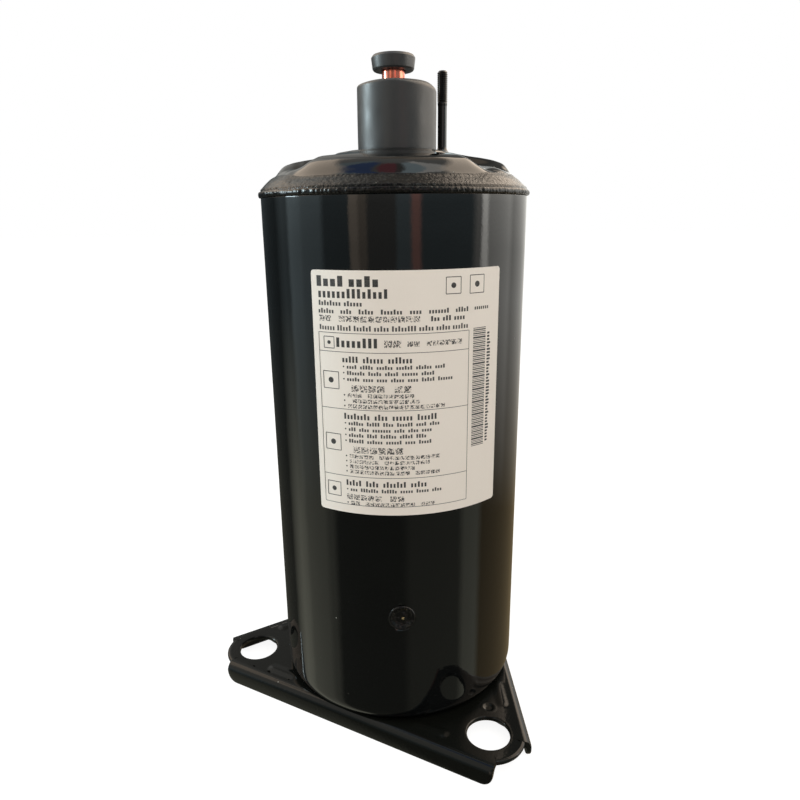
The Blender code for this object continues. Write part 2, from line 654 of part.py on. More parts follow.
def vane_and_spring():
    height = 2 * BLOCK_HALF - 0.3 * mm
    tip = arc(VANE_HALF_T * 1.25, 127, 233, 6, (VANE_HALF_T * 1.25, 0.0))
    shape = tip + [(VANE_LENGTH, -VANE_HALF_T), (VANE_LENGTH, VANE_HALF_T)]
    vane = add("vane", outline_mesh("vane", [shape], height), "steel")
    vane.location = (*polar(VANE_TIP_R, VANE_ANGLE), PUMP_Z)
    vane.rotation_euler.z = radians(VANE_ANGLE)
    turns, steps, coil_r, wire_r = 5, 8, 2.2 * mm, 0.35 * mm
    start, length = VANE_TIP_R + VANE_LENGTH + GAP + wire_r, 10.5 * mm
    out, side = Vector((*polar(1, VANE_ANGLE), 0)), Vector((*polar(1, VANE_ANGLE + 90), 0))
    up = Vector((0, 0, 1))
    points = []
    for k in range(turns * steps + 1):
        turn = 2 * pi * k / steps
        centre = out * (start + length * k / (turns * steps)) + up * PUMP_Z
        points.append(centre + side * coil_r * cos(turn) + up * coil_r * sin(turn))
    add("vane_spring", tube_mesh("vane_spring", points, wire_r, 8), "steel")


def discharge_valve():
    """A reed over the discharge port, riveted at one end under a rising stop."""
    face = PUMP_Z + BLOCK_HALF + GAP + BEARING_T
    foot, port = Vector((*polar(PORT_R, RIVET_ANGLE), 0)), Vector((*polar(PORT_R, PORT_ANGLE), 0))
    length = (port - foot).length
    heading = (port - foot).to_2d()
    turn = Vector(heading).angle_signed(Vector((1.0, 0.0)))
    half = 2.6 * mm
    strip = arc(half, 90, 270, 8) + arc(half + 0.5 * mm, 270, 450, 8, (length, 0.0))
    hole = circle(1.8 * mm, 14)
    reed = add("discharge_reed", outline_mesh("discharge_reed", [strip, hole], 0.4 * mm), "steel")
    reed.location = foot + Vector((0, 0, face + GAP + 0.2 * mm))
    reed.rotation_euler.z = turn
    stop = add("valve_stop", outline_mesh("valve_stop", [strip, hole], 1.2 * mm), "steel")
    stop_z = face + 2 * GAP + 0.4 * mm + 0.6 * mm
    tilt = Matrix.Translation(foot + Vector((0, 0, stop_z + 0.4 * mm))) @ Matrix.Rotation(turn, 4, 'Z')
    stop.matrix_world = tilt @ Matrix.Rotation(radians(-9), 4, 'Y')
    head = stop_z + 1.7 * mm
    low, r = face - 5 * mm, 1.4 * mm
    profile = [(0.0, head + 1.2 * mm), (2.3 * mm, head + 1.2 * mm), (2.6 * mm, head + 0.2 * mm), (r, head),
               (r, low), (0.0, low)]
    turned("valve_rivet", profile, "steel", 16, at=(foot.x, foot.y, 0.0))


def discharge_muffler():
    base = PUMP_Z + BLOCK_HALF + GAP + BEARING_T + GAP
    t, dome, top = 1.0 * mm, 28.0 * mm, base + 18 * mm
    hub = 14.5 * mm + GAP + 0.4 * mm
    rim, inner, c = 38 * mm, dome - t, 4.4 * mm
    shape = [(hub, top), (dome - 4 * mm, top), (dome, top - 4 * mm), (dome, base + t), (rim, base + t),
             (rim, base), (inner, base), (inner, top - c), (dome - c, top - t), (hub, top - t)]
    muffler = turned("discharge_muffler", shape, "steel", 28, closed=True)
    bolt_holes(muffler, base, base + t)


def pump_bolts():
    seat = PUMP_Z + BLOCK_HALF + GAP + BEARING_T + GAP + 1.0 * mm + GAP
    low = PUMP_Z - BLOCK_HALF - 8 * mm
    for i, angle in enumerate(BOLT_ANGLES, 1):
        head = cylinder(f"bolt_head_{i}", 4.3 * mm, seat, seat + 4 * mm, steps=6)
        profile = [(0.0, seat + 1 * mm), (BOLT_R, seat + 1 * mm), (BOLT_R, low), (0.0, low)]
        bolt = turned(f"pump_bolt_{i}", profile, "steel", 14, at=(*polar(BOLT_PCR, angle), 0.0))
        head.location.xy = polar(BOLT_PCR, angle)
        cut(bolt, head, 'UNION')


# ---------------------------------------------------------------- accumulator

def accumulator():
    x, y = polar(ACC_AT, SUCTION_ANGLE)
    r, wall, neck = ACC_R, ACC_WALL, SUCTION_TUBE_R + GAP

    def side(offset):
        """The can's profile from its top neck to its bottom neck, drawn in by offset."""
        dome = [(0.55, 0.0), (0.86, 3.0), (1.0, 9.0)]
        upper = [(k * (r - offset), ACC_TOP - offset - d * mm) for k, d in dome]
        lower = [(k * (r - offset), ACC_BOTTOM + offset + d * mm) for k, d in reversed(dome)]
        return upper + lower

    lip = 2.2 * mm
    outside = [(neck + lip, ACC_TOP + 5 * mm), (neck + lip, ACC_TOP)] + side(0.0)
    outside += [(neck + lip, ACC_BOTTOM), (neck + lip, ACC_BOTTOM - 5 * mm)]
    inside = [(neck, ACC_BOTTOM - 5 * mm), (neck, ACC_BOTTOM + wall)] + list(reversed(side(wall)))
    inside += [(neck, ACC_TOP - wall), (neck, ACC_TOP + 5 * mm)]
    turned("accumulator_shell", outside + inside, "black_enamel", 28, at=(x, y, 0.0), closed=True)
    mid = ACC_TOP - 24 * mm
    inner = r - wall - GAP
    dish = [(0.0, mid + 5 * mm), (inner, mid), (inner, mid - 1 * mm), (0.0, mid + 4 * mm)]
    turned("accumulator_screen", dish, "steel", 28, at=(x, y, 0.0))
    inlet_top = ACC_TOP + 25 * mm
    ring("suction_inlet_tube", SUCTION_TUBE_R - TUBE_WALL, SUCTION_TUBE_R - 0.05 * mm, ACC_TOP - 14 * mm,
         inlet_top, "copper", 28, (x, y, 0.0))
    rubber_plug("suction_plug", inlet_top - 4 * mm, inlet_top + 2.4 * mm, inlet_top + GAP, (x, y))
    suction_elbow()


def suction_elbow():
    """Stands up inside the accumulator, comes out of its bottom, and turns into the cylinder block."""
    bend = 18.0 * mm
    rise = [(ACC_AT, 0, z * mm) for z in (190, 92)]
    turn = []
    for k in range(7):
        a = radians(90.0 * k / 6)
        turn.append((ACC_AT - bend + bend * cos(a), 0, PUMP_Z + bend - bend * sin(a)))
    path = rise + turn + [(50 * mm, 0, PUMP_Z), (25 * mm, 0, PUMP_Z)]
    spin = Matrix.Rotation(radians(SUCTION_ANGLE), 3, 'Z')
    points = [spin @ Vector(p) for p in path]
    elbow = add("suction_elbow", tube_mesh("suction_elbow", points, SUCTION_TUBE_R - 0.05 * mm, 14), "copper")
    first = points[0] + Vector((0, 0, 3 * mm))
    last = points[-1] + (points[-1] - points[-2]).normalized() * 3 * mm
    inside = tube_mesh("elbow_core", [first] + points[1:-1] + [last], SUCTION_TUBE_R - TUBE_WALL, 14)
    core = add("elbow_core", inside)
    cut(elbow, core)
    collar = ring("suction_joint_ring", SUCTION_TUBE_R + GAP, 8.5 * mm, -3 * mm, 6 * mm, "steel", 24)
    lay_radial(collar, SUCTION_ANGLE, SHELL_R, PUMP_Z)


def accumulator_mount():
    """A saddle welded to the can, with ears, and a strap that is screwed to them round the accumulator."""
    near, far = ACC_R + GAP, ACC_R + GAP + STRAP_T
    ear, ear_half = 9.0 * mm, 62.0
    low, high = STRAP_Z - STRAP_HALF_H, STRAP_Z + STRAP_HALF_H
    centre = (ACC_AT, 0.0)
    foot_r = SHELL_R + GAP

    def tab(angle, side):
        """The outer corners of an ear that stands off the band, on one side of its radius."""
        base = Vector(polar(1.0, angle))
        across = Vector(polar(1.0, angle + 90 * side)) * STRAP_T
        return [Vector(centre) + base * far + across, Vector(centre) + base * (far + ear) + across,
                Vector(centre) + base * (far + ear)]

    upper = 180 - ear_half
    lower = 180 + ear_half
    cradle = arc(near, upper, lower, 14, centre)
    back = [tab(lower, -1)[2], tab(lower, -1)[1], tab(lower, -1)[0]]
    back += arc(far, lower - 6, 180 + 14, 4, centre)
    back += [(foot_r + 2 * mm, -7.5 * mm)] + arc(foot_r + 2 * mm, -9, -16, 2) + arc(foot_r, -16, 16, 8)
    back += arc(foot_r + 2 * mm, 16, 9, 2) + [(foot_r + 2 * mm, 7.5 * mm)]
    back += arc(far, 180 - 14, upper + 6, 4, centre)
    back += [tab(upper, 1)[0], tab(upper, 1)[1], tab(upper, 1)[2]]
    bracket = plate("accumulator_bracket", [[tuple(p) for p in cradle + back]], low, high, "black_enamel")
    bracket.rotation_euler.z = radians(SUCTION_ANGLE)

    step = 1.4
    band = arc(near, upper - step, lower + step - 360, 20, centre)
    tail = [tab(lower + step, 1)[2], tab(lower + step, 1)[1], tab(lower + step, 1)[0]]
    head = [tab(upper - step, -1)[0], tab(upper - step, -1)[1], tab(upper - step, -1)[2]]
    rim = arc(far, lower + step + 6 - 360, upper - step - 6, 18, centre)
    loop = [tuple(p) for p in band + tail + rim + head]
    strap = plate("accumulator_strap", [loop], low, high, "black_enamel")
    strap.rotation_euler.z = radians(SUCTION_ANGLE)

    spin = Matrix.Rotation(radians(SUCTION_ANGLE), 4, 'Z')
    for i, angle in enumerate((upper, lower), 1):
        base = Vector((*polar(1.0, angle), 0.0))
        across = Vector((*polar(1.0, angle + (90 if i == 1 else -90)), 0.0))
        spot = Vector((*centre, STRAP_Z)) + base * (far + ear * 0.55)
        place = spin @ Matrix.Translation(spot) @ across.to_track_quat('Z', 'Y').to_matrix().to_4x4()
        for made in (bracket, strap):
            hole = cylinder(f"{made.name}_screw_hole_{i}", 2.0 * mm + GAP, -9 * mm, 9 * mm, steps=16)
            hole.matrix_world = place
            cut(made, hole)
        face = STRAP_T + GAP
        shank = [(0.0, face + 2.6 * mm), (3.6 * mm, face + 2.4 * mm), (3.6 * mm, face), (2.0 * mm, face),
                 (2.0 * mm, -7 * mm), (0.0, -7 * mm)]
        screw = turned(f"strap_screw_{i}", shank, "steel", 18)
        screw.matrix_world = place


def build():
    for make in (shell_can, top_cap, welds, mounting_base, nameplate_label, discharge_fittings,
                 terminal_stud, terminal, lead_wires, stator, rotor, crankshaft, cylinder_block, bearings,
                 rolling_piston, vane_and_spring, discharge_valve, discharge_muffler, pump_bolts,
                 accumulator, accumulator_mount):
        make()


build()
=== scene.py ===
"""Looks of a small hermetic rotary compressor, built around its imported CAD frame.

Sizes are in millimetres, and mm turns them into Blender's metres. Heights and centres come from the boxes of
the frame's nodes. The visible outside is rebuilt as fine meshes. The pump and motor inside keep their CAD
shapes and get materials.
"""
import random
from math import asin, ceil, cos, degrees, hypot, pi, radians, sin, sqrt

import bmesh
import bpy
import numpy as np
from mathutils import Matrix, Vector, geometry, noise


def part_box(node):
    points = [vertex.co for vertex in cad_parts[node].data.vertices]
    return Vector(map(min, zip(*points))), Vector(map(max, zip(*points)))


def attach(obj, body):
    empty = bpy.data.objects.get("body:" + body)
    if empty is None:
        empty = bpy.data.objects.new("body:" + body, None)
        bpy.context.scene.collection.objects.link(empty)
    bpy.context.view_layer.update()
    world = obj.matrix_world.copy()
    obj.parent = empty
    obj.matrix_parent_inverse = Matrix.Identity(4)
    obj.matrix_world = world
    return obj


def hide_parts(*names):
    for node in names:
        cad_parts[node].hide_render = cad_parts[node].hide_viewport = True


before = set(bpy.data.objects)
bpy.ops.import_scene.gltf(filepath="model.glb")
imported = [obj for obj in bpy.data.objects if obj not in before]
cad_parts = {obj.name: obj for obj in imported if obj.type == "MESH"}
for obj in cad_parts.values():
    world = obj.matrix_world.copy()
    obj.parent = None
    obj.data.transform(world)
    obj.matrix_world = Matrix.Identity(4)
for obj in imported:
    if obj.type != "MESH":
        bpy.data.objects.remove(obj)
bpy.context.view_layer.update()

mm = 0.001
NEAR = 1e-4                             # points closer than this are one point
HOUSING = "housing"


def box(node):
    """The low and the high corner of a CAD node, in millimetres."""
    return [Vector(corner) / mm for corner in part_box(node)]


def centre(node):
    low, high = box(node)
    return (low + high) / 2


def low_z(node):
    return box(node)[0].z


def high_z(node):
    return box(node)[1].z


def half_width(node):
    low, high = box(node)
    return (high.x - low.x) / 2


# ------------------------ driving sizes, read from the frame

SHELL_R = half_width("shell_can")
CAN_TOP = high_z("shell_can")
RIM_Z = CAN_TOP + 1.8
PLATE_TOP = 10.0
PLATE_T = 2.2
FOOT_ANGLES = (-60.0, 60.0, 180.0)
FOOT_CORNER_R = 16.5
FOOT_PCR = 76.5                         # distance of a foot hole from the shell's axis
FOOT_HOLE_R = 9.7
BASE_HOLE_R = 38.5
SIDE_EDGE = 55.5                        # distance of the base's straight edges from the axis
FLANGE_FROM, FLANGE_TO = -72.0, 75.0    # along a side, counted from its middle
TUBE_R = half_width("discharge_tube")
LOBE_ANGLES = (-95.0, 25.0, 145.0)
PLUG_WELD_ANGLES = (-90.0, 30.0, 150.0)
PLUG_WELD_Z = centre("plug_weld_1").z
SUCTION_ANGLE = 110.0


# ------------------------ mesh helpers

def polar(radius, angle):
    return radius * cos(radians(angle)), radius * sin(radians(angle))


def arc(radius, start, stop, steps, at=(0.0, 0.0)):
    turns = np.radians(np.linspace(start, stop, steps + 1))
    return [(at[0] + radius * cos(a), at[1] + radius * sin(a)) for a in turns]


def fade(value, low, high):
    t = np.clip((value - low) / (high - low), 0.0, 1.0)
    return t * t * (3.0 - 2.0 * t)


def soften(points, radius, steps=4, closed=True):
    """The outline with its corners rounded. radius is one value, or one for each point."""
    count = len(points)
    radii = [radius] * count if isinstance(radius, float) else list(radius)
    made = []
    for i, here in enumerate(points):
        if not closed and i in (0, count - 1):
            made.append(tuple(here))
            continue
        here = Vector(here)
        before = Vector(points[i - 1]) - here
        after = Vector(points[(i + 1) % count]) - here
        if before.length < NEAR or after.length < NEAR or radii[i] <= 0:
            made.append(tuple(here))
            continue
        angle = before.angle(after)
        reach = min(radii[i] / max(np.tan(angle / 2), 1e-6), 0.46 * before.length, 0.46 * after.length)
        if angle > radians(176):
            made.append(tuple(here))
            continue
        start, stop = here + before.normalized() * reach, here + after.normalized() * reach
        for k in range(steps + 1):
            t = k / steps
            made.append(tuple(start * (1 - t) ** 2 + here * (2 * t * (1 - t)) + stop * t ** 2))
    return made


def divided(points, step, closed=True):
    """The outline with long stretches divided into pieces of about step."""
    made = []
    pairs = zip(points, points[1:] + points[:1]) if closed else zip(points, points[1:])
    for a, b in pairs:
        count = max(1, ceil(hypot(b[0] - a[0], b[1] - a[1]) / step))
        made += [(a[0] + (b[0] - a[0]) * k / count, a[1] + (b[1] - a[1]) * k / count) for k in range(count)]
    return made if closed else made + [points[-1]]


def revolve(profile, steps, closed=True):
    """Points and faces of a profile of (radius, z) turned about Z. A point at radius 0 is a pole."""
    points, rows = [], []
    for r, z in profile:
        if r < NEAR:
            rows.append([len(points)] * steps)
            points.append((0.0, 0.0, z))
            continue
        rows.append(list(range(len(points), len(points) + steps)))
        points += [(r * cos(2 * pi * k / steps), r * sin(2 * pi * k / steps), z) for k in range(steps)]
    faces = []
    pairs = list(zip(rows, rows[1:])) + ([(rows[-1], rows[0])] if closed else [])
    for a, b in pairs:
        for k in range(steps):
            n = (k + 1) % steps
            face = []
            for i in (a[k], a[n], b[n], b[k]):
                if i not in face:
                    face.append(i)
            if len(face) > 2:
                faces.append(face)
    return np.array(points), faces


def bridge(rings, closed=False):
    """Quads between each ring of point numbers and the next."""
    pairs = list(zip(rings, rings[1:])) + ([(rings[-1], rings[0])] if closed else [])
    return [(a[k - 1], a[k], b[k], b[k - 1]) for a, b in pairs for k in range(len(a))]


def rings_of(rows, size):
    """The point numbers of rows of points that follow one another."""
    return [range(i * size, (i + 1) * size) for i in range(rows)]


def rod(radius, low, high, steps):
    """A closed cylinder about Z, to drill with."""
    return revolve([(0.0, low), (radius, low), (radius, high), (0.0, high)], steps, closed=False)


def sweep(path, radius, sides, hollow=0.0):
    """A round tube along a path in space, with flat ends, or open to an inner radius."""
    path = [Vector(p) for p in path]
    tangents = [(b - a).normalized() for a, b in zip([path[0]] + path[:-1], path[1:] + [path[-1]])]
    tangents[0], tangents[-1] = (path[1] - path[0]).normalized(), (path[-1] - path[-2]).normalized()
    side = tangents[0].orthogonal().normalized()
    points = []
    stations = [(p, t, radius) for p, t in zip(path, tangents)]
    if hollow:
        stations += [(p, t, hollow) for p, t in reversed(list(zip(path, tangents)))]
    for place, along, r in stations:
        side = (side - along * side.dot(along)).normalized()
        up = along.cross(side)
        points += [tuple(place + (side * cos(2 * pi * k / sides) + up * sin(2 * pi * k / sides)) * r)
                   for k in range(sides)]
    rings = rings_of(len(stations), sides)
    faces = bridge(rings, bool(hollow))
    if not hollow:
        faces += [tuple(rings[0]), tuple(rings[-1])]
    return np.array(points), faces


def extrude(outline, low, high, edge=0.0, steps=3):
    """A flat closed outline in XY raised from low to high, with its rims rounded by edge."""
    flat = [Vector(p) for p in outline]
    count = len(flat)
    inward = []
    for i, p in enumerate(flat):
        d = (flat[(i + 1) % count] - flat[i - 1]).normalized()
        inward.append(Vector((-d.y, d.x)))
    area = sum(a.x * b.y - b.x * a.y for a, b in zip(flat, flat[1:] + flat[:1]))
    turn = 1.0 if area > 0 else -1.0
    levels = []
    for k in range(steps + 1):
        a = pi / 2 * k / steps
        levels.append((edge * (1 - sin(a)), low + edge * (1 - cos(a))))
    levels += [(inset, high + low - z) for inset, z in reversed(levels)]
    points = [(*(p + n * (turn * inset)), z) for inset, z in levels for p, n in zip(flat, inward)]
    rings = rings_of(len(levels), count)
    faces = [tuple(rings[0]), tuple(rings[-1])] + bridge(rings)
    return np.array(points), faces


def mesh_from(name, points, faces, angle=40.0):
    """A smooth mesh in metres, with its sharp edges marked."""
    mesh = bpy.data.meshes.new(name)
    mesh.from_pydata((np.array(points) * mm).tolist(), [], [tuple(f) for f in faces])
    form = bmesh.new()
    form.from_mesh(mesh)
    bmesh.ops.recalc_face_normals(form, faces=form.faces)
    form.to_mesh(mesh)
    form.free()
    mesh.shade_smooth()
    mesh.set_sharp_from_angle(angle=radians(angle))
    return mesh


def merged(*forms):
    """Several (points, faces) joined into one."""
    points, faces = [], []
    for p, f in forms:
        start = len(points)
        points += [tuple(q) for q in p]
        faces += [tuple(i + start for i in face) for face in f]
    return np.array(points), faces


def moved(form, matrix):
    points, faces = form
    return [matrix @ Vector(p) for p in points], faces


def upright(form, at, z=0.0):
    """A form about Z, carried to a place."""
    return moved(form, Matrix.Translation((at[0], at[1], z)))


def piece(name, form, finish, stands_for=(), body=HOUSING, angle=40.0):
    """A new visible piece that rides on a body and stands for some CAD nodes."""
    made = bpy.data.objects.new(name, mesh_from(name, *form, angle=angle))
    bpy.context.scene.collection.objects.link(made)
    made.data.materials.append(finish)
    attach(made, body)
    if stands_for:
        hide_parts(*stands_for)
    return made


def drill(made, form):
    """Cut a closed form out of a piece for good."""
    cutter = bpy.data.objects.new("cutter", mesh_from("cutter", *form))
    bpy.context.scene.collection.objects.link(cutter)
    change = made.modifiers.new("drill", 'BOOLEAN')
    change.object = cutter
    change.operation = 'DIFFERENCE'
    graph = bpy.context.evaluated_depsgraph_get()
    done = bpy.data.meshes.new_from_object(made.evaluated_get(graph))
    made.modifiers.clear()
    made.data = done
    bpy.data.objects.remove(cutter)


def radial_place(angle, radius, z):
    """Turns a form's +Z outward along a radius, and puts its origin there."""
    out = Vector((*polar(1.0, angle), 0.0))
    return Matrix.Translation((*polar(radius, angle), z)) @ out.to_track_quat('Z', 'Y').to_matrix().to_4x4()


def ripple(x, y, z, size, seed=0.0):
    """Smooth noise from about -1 to 1 at a point, with features of about size."""
    return noise.noise(Vector((x / size + seed, y / size - seed, z / size + 2.3 * seed)))


# ------------------------ material helpers

class Look:
    """The nodes of a material, or of the world, as they are put together. Lengths are in millimetres."""

    def __init__(self, owner, space="Object"):
        owner.use_nodes = True
        self.owner, self.tree = owner, owner.node_tree
        self.place = self.node("TexCoord").outputs[space]

    def node(self, kind, inputs=None, **settings):
        """Add a shader node. An input given a socket is linked; any other value is set."""
        made = self.tree.nodes.new("ShaderNode" + kind)
        for key, value in settings.items():
            setattr(made, key, value)
        for key, value in (inputs or {}).items():
            if isinstance(value, bpy.types.NodeSocket):
                self.tree.links.new(value, made.inputs[key])
            else:
                made.inputs[key].default_value = value
        return made

    def grain(self, size, detail=3.0, stretch=None):
        """A noise field from 0 to 1 with features of about size."""
        place = self.place
        if stretch:
            place = self.node("Mapping", {"Vector": place, "Scale": stretch}).outputs[0]
        inputs = {"Vector": place, "Scale": 1.0 / (size * mm), "Detail": detail}
        return self.node("TexNoise", inputs).outputs[0]

    def level(self, value, low, high, to_low=0.0, to_high=1.0):
        """A value carried over from one range to another, and held at its ends."""
        inputs = {"Value": value, "From Min": low, "From Max": high, "To Min": to_low, "To Max": to_high}
        return self.node("MapRange", inputs).outputs[0]

    def blended(self, share, first, second):
        """A colour between two, by a share from 0 to 1."""
        first, second = ((*c, 1.0) if isinstance(c, tuple) else c for c in (first, second))
        return self.node("Mix", {0: share, 6: first, 7: second}, data_type='RGBA').outputs[2]

    def maths(self, operation, first, second=0.0):
        return self.node("Math", {0: first, 1: second}, operation=operation).outputs[0]

    def specks(self, cell, radius, share):
        """1 inside small round specks, one in some of the cells of a Voronoi pattern."""
        cells = self.node("TexVoronoi", {"Vector": self.place, "Scale": 1.0 / (cell * mm)})
        chance = self.node("SeparateColor", {0: cells.outputs["Color"]})
        size = self.level(chance.outputs[1], 0.0, 1.0, 0.4 * radius / cell, radius / cell)
        near = self.maths('LESS_THAN', cells.outputs["Distance"], size)
        return self.maths('MULTIPLY', near, self.maths('LESS_THAN', chance.outputs[0], share))

    def bump(self, height, distance, strength=1.0, below=None):
        """A normal over a relief of some height, and over the normal below it."""
        inputs = {"Height": height, "Distance": distance * mm, "Strength": strength}
        if below is not None:
            inputs["Normal"] = below
        return self.node("Bump", inputs).outputs[0]

    def finish(self, colour, rough, normal=None):
        """Feed the Principled shader, and return the material."""
        inputs = self.tree.nodes["Principled BSDF"].inputs
        for key, value in (("Base Color", colour), ("Roughness", rough), ("Normal", normal)):
            if value is not None:
                self.tree.links.new(value, inputs[key])
        return self.owner


def material(name, **fixed):
    """The start of a Principled material, with some of its inputs fixed."""
    look = Look(bpy.data.materials.new(name))
    for key, value in fixed.items():
        look.tree.nodes["Principled BSDF"].inputs[key.replace("_", " ")].default_value = value
    return look


# ------------------------ materials

BLACK, DULL_BLACK = (0.0020, 0.0023, 0.0024), (0.0030, 0.0032, 0.0026)


def enamel(name, peel=0.012, gloss=0.035, dust=0.05, dark=BLACK, shine=0.5, crusted=False):
    """Black stoving enamel: deep gloss with a faint orange peel, wipe marks and settled dust.

    Crusted enamel runs over weld spatter, and is rough and dusty.
    """
    look = material(name, IOR=1.5, Specular_IOR_Level=shine)
    cloud = look.grain(28, 2.0)
    tone = look.blended(cloud, dark, tuple(c * 1.8 for c in dark))
    spots = look.specks(4.2, 0.34, dust)
    colour = look.blended(spots, tone, (0.32, 0.31, 0.28))
    wipes = look.level(look.grain(9, 4.0, (1.0, 1.0, 0.35)), 0.45, 0.75, gloss, gloss + 0.05)
    rough = look.maths('MAXIMUM', wipes, look.maths('MULTIPLY', spots, 0.7))
    normal = look.bump(look.grain(1.5, 2.0), peel)
    normal = look.bump(spots, 0.05, 0.6, normal)
    if crusted:
        lumps = look.grain(1.3, 4.0)
        dusty = look.level(lumps, 0.48, 0.66)
        colour = look.blended(look.maths('MULTIPLY', dusty, 0.18), colour, (0.07, 0.068, 0.06))
        rough = look.maths('MAXIMUM', rough, look.maths('MULTIPLY', dusty, 0.22))
        normal = look.bump(lumps, 0.34, 1.0, normal)
    return look.finish(colour, rough, normal)


def rubber(name, tone=(0.025, 0.026, 0.027), rough=0.42):
    """Moulded dark grey rubber: a satin skin with a fine matt grain and dusty patches."""
    look = material(name, IOR=1.52, Sheen_Weight=0.06, Sheen_Roughness=0.4)
    patch = look.grain(7, 4.0)
    colour = look.blended(patch, tone, tuple(c * 1.35 for c in tone))
    dust = look.specks(1.6, 0.1, 0.12)
    colour = look.blended(look.maths('MULTIPLY', dust, 0.5), colour, (0.3, 0.3, 0.29))
    rough = look.level(patch, 0.3, 0.7, rough - 0.06, rough + 0.06)
    fine = look.bump(look.grain(0.22, 3.0), 0.02, 0.7)
    normal = look.bump(look.grain(2.5, 2.0), 0.03, 0.5, fine)
    return look.finish(colour, rough, normal)


def metal(name, colour, rough, worn, size=1.2, stretch=None, depth=0.01):
    """Bare metal with a mottled tone, uneven polish and fine marks."""
    look = material(name, Metallic=1.0)
    patch = look.grain(5, 4.0)
    colour = look.blended(look.level(patch, 0.35, 0.7), colour, worn)
    marks = look.grain(size, 4.0, stretch)
    rough = look.level(marks, 0.3, 0.7, rough * 0.75, rough * 1.4)
    normal = look.bump(marks, depth)
    return look.finish(colour, rough, normal)


def weld_metal(name):
    """An enamelled weld: glossy black over a rough, rippled bead."""
    look = material(name, IOR=1.5, Specular_IOR_Level=0.3)
    crust = look.grain(0.9, 5.0)
    colour = look.blended(look.level(crust, 0.5, 0.8), (0.004, 0.004, 0.004), (0.014, 0.012, 0.009))
    rough = look.level(crust, 0.3, 0.8, 0.07, 0.34)
    normal = look.bump(crust, 0.14)
    return look.finish(colour, rough, normal)


def paper(name):
    """Coated label paper, warm white, with faint fibres and a slightly uneven satin face."""
    look = material(name, IOR=1.46)
    fibre = look.grain(0.5, 4.0, (1.0, 1.0, 0.4))
    stain = look.grain(24, 2.0)
    colour = look.blended(stain, (0.86, 0.79, 0.72), (0.90, 0.84, 0.77))
    colour = look.blended(look.level(fibre, 0.3, 0.7, 0.0, 0.12), colour, (0.78, 0.71, 0.63))
    rough = look.level(fibre, 0.3, 0.7, 0.40, 0.55)
    normal = look.bump(fibre, 0.006)
    return look.finish(colour, rough, normal)


def ink(name, tone, cover=1.0):
    """Thermal-printed ink. With less cover, the paper's tone breaks through in fine flecks."""
    look = material(name, IOR=1.45)
    patch = look.grain(0.45, 3.0)
    colour = look.blended(look.level(patch, 0.35, 0.75), tone, tuple(c * 0.7 + 0.08 for c in tone))
    if cover < 1:
        gaps = look.level(look.grain(0.55, 1.0), cover - 0.06, cover + 0.06)
        colour = look.blended(gaps, colour, (0.84, 0.77, 0.70))
    rough = look.level(patch, 0.3, 0.7, 0.42, 0.6)
    return look.finish(colour, rough)


def lamination(name):
    """A stack of electrical steel sheets, seen as fine level lines with a blued, oily surface."""
    look = material(name, Metallic=1.0)
    height = look.node("SeparateXYZ", {0: look.place}).outputs[2]
    sheets = look.maths('PINGPONG', height, 0.25 * mm)
    line = look.level(sheets, 0.0, 0.06 * mm, 1.0, 0.0)
    patch = look.grain(6, 3.0)
    steel = look.blended(patch, (0.24, 0.26, 0.31), (0.36, 0.35, 0.34))
    colour = look.blended(line, steel, (0.06, 0.06, 0.07))
    rough = look.level(patch, 0.2, 0.8, 0.3, 0.5)
    normal = look.bump(line, -0.03)
    return look.finish(colour, rough, normal)


def winding(name):
    """Enamelled copper wire laid side by side, under a coat of varnish, with painted shade between the wires
    and a painted highlight on each wire's crown.
    """
    look = material(name, Metallic=0.8, Coat_Weight=0.5, Coat_Roughness=0.12)
    bend = look.grain(9, 2.0)
    parts = look.node("SeparateXYZ", {0: look.place})
    turn = look.maths('ARCTAN2', parts.outputs[1], parts.outputs[0])
    climb = look.maths('MULTIPLY', parts.outputs[2], 0.8)
    across = look.maths('ADD', climb, look.maths('MULTIPLY', bend, 9 * mm))
    across = look.maths('ADD', across, look.maths('MULTIPLY', turn, 2.0 * mm))
    wire_r = 0.4 * mm
    wire_relief_and_shade = look.level(look.maths('PINGPONG', across, wire_r), 0.0, wire_r)
    # The wave across each wire is the wires' relief for the bump. As colour it is painted light: painted
    # shade where neighbouring wires meet, and a painted highlight on each wire's crown.
    colour = look.blended(wire_relief_and_shade, (0.10, 0.025, 0.010), (0.62, 0.25, 0.09))
    rough = look.level(bend, 0.2, 0.8, 0.25, 0.4)
    normal = look.bump(wire_relief_and_shade, 0.3)
    return look.finish(colour, rough, normal)


def cast(name):
    """Machined cast iron: grey, with graphite flecks and fine tool lines."""
    look = material(name, Metallic=0.85)
    fleck = look.grain(0.6, 5.0)
    turned = {"Vector": look.place, "Scale": 900.0, "Distortion": 1.5, "Detail": 2.0}
    tool = look.node("TexWave", turned, wave_type='RINGS', rings_direction='Z').outputs[1]
    colour = look.blended(look.level(fleck, 0.45, 0.65), (0.26, 0.26, 0.27), (0.13, 0.13, 0.135))
    rough = look.level(fleck, 0.3, 0.7, 0.36, 0.55)
    fine = look.bump(tool, 0.01, 0.5)
    normal = look.bump(fleck, 0.02, 1.0, fine)
    return look.finish(colour, rough, normal)


def fused_glass(name):
    """The dark green fused glass that holds a terminal pin."""
    look = material(name, IOR=1.52, Coat_Weight=0.6, Coat_Roughness=0.03)
    swirl = look.grain(1.4, 3.0)
    colour = look.blended(swirl, (0.02, 0.07, 0.06), (0.07, 0.16, 0.13))
    rough = look.level(swirl, 0.3, 0.7, 0.06, 0.14)
    normal = look.bump(swirl, 0.04)
    return look.finish(colour, rough, normal)


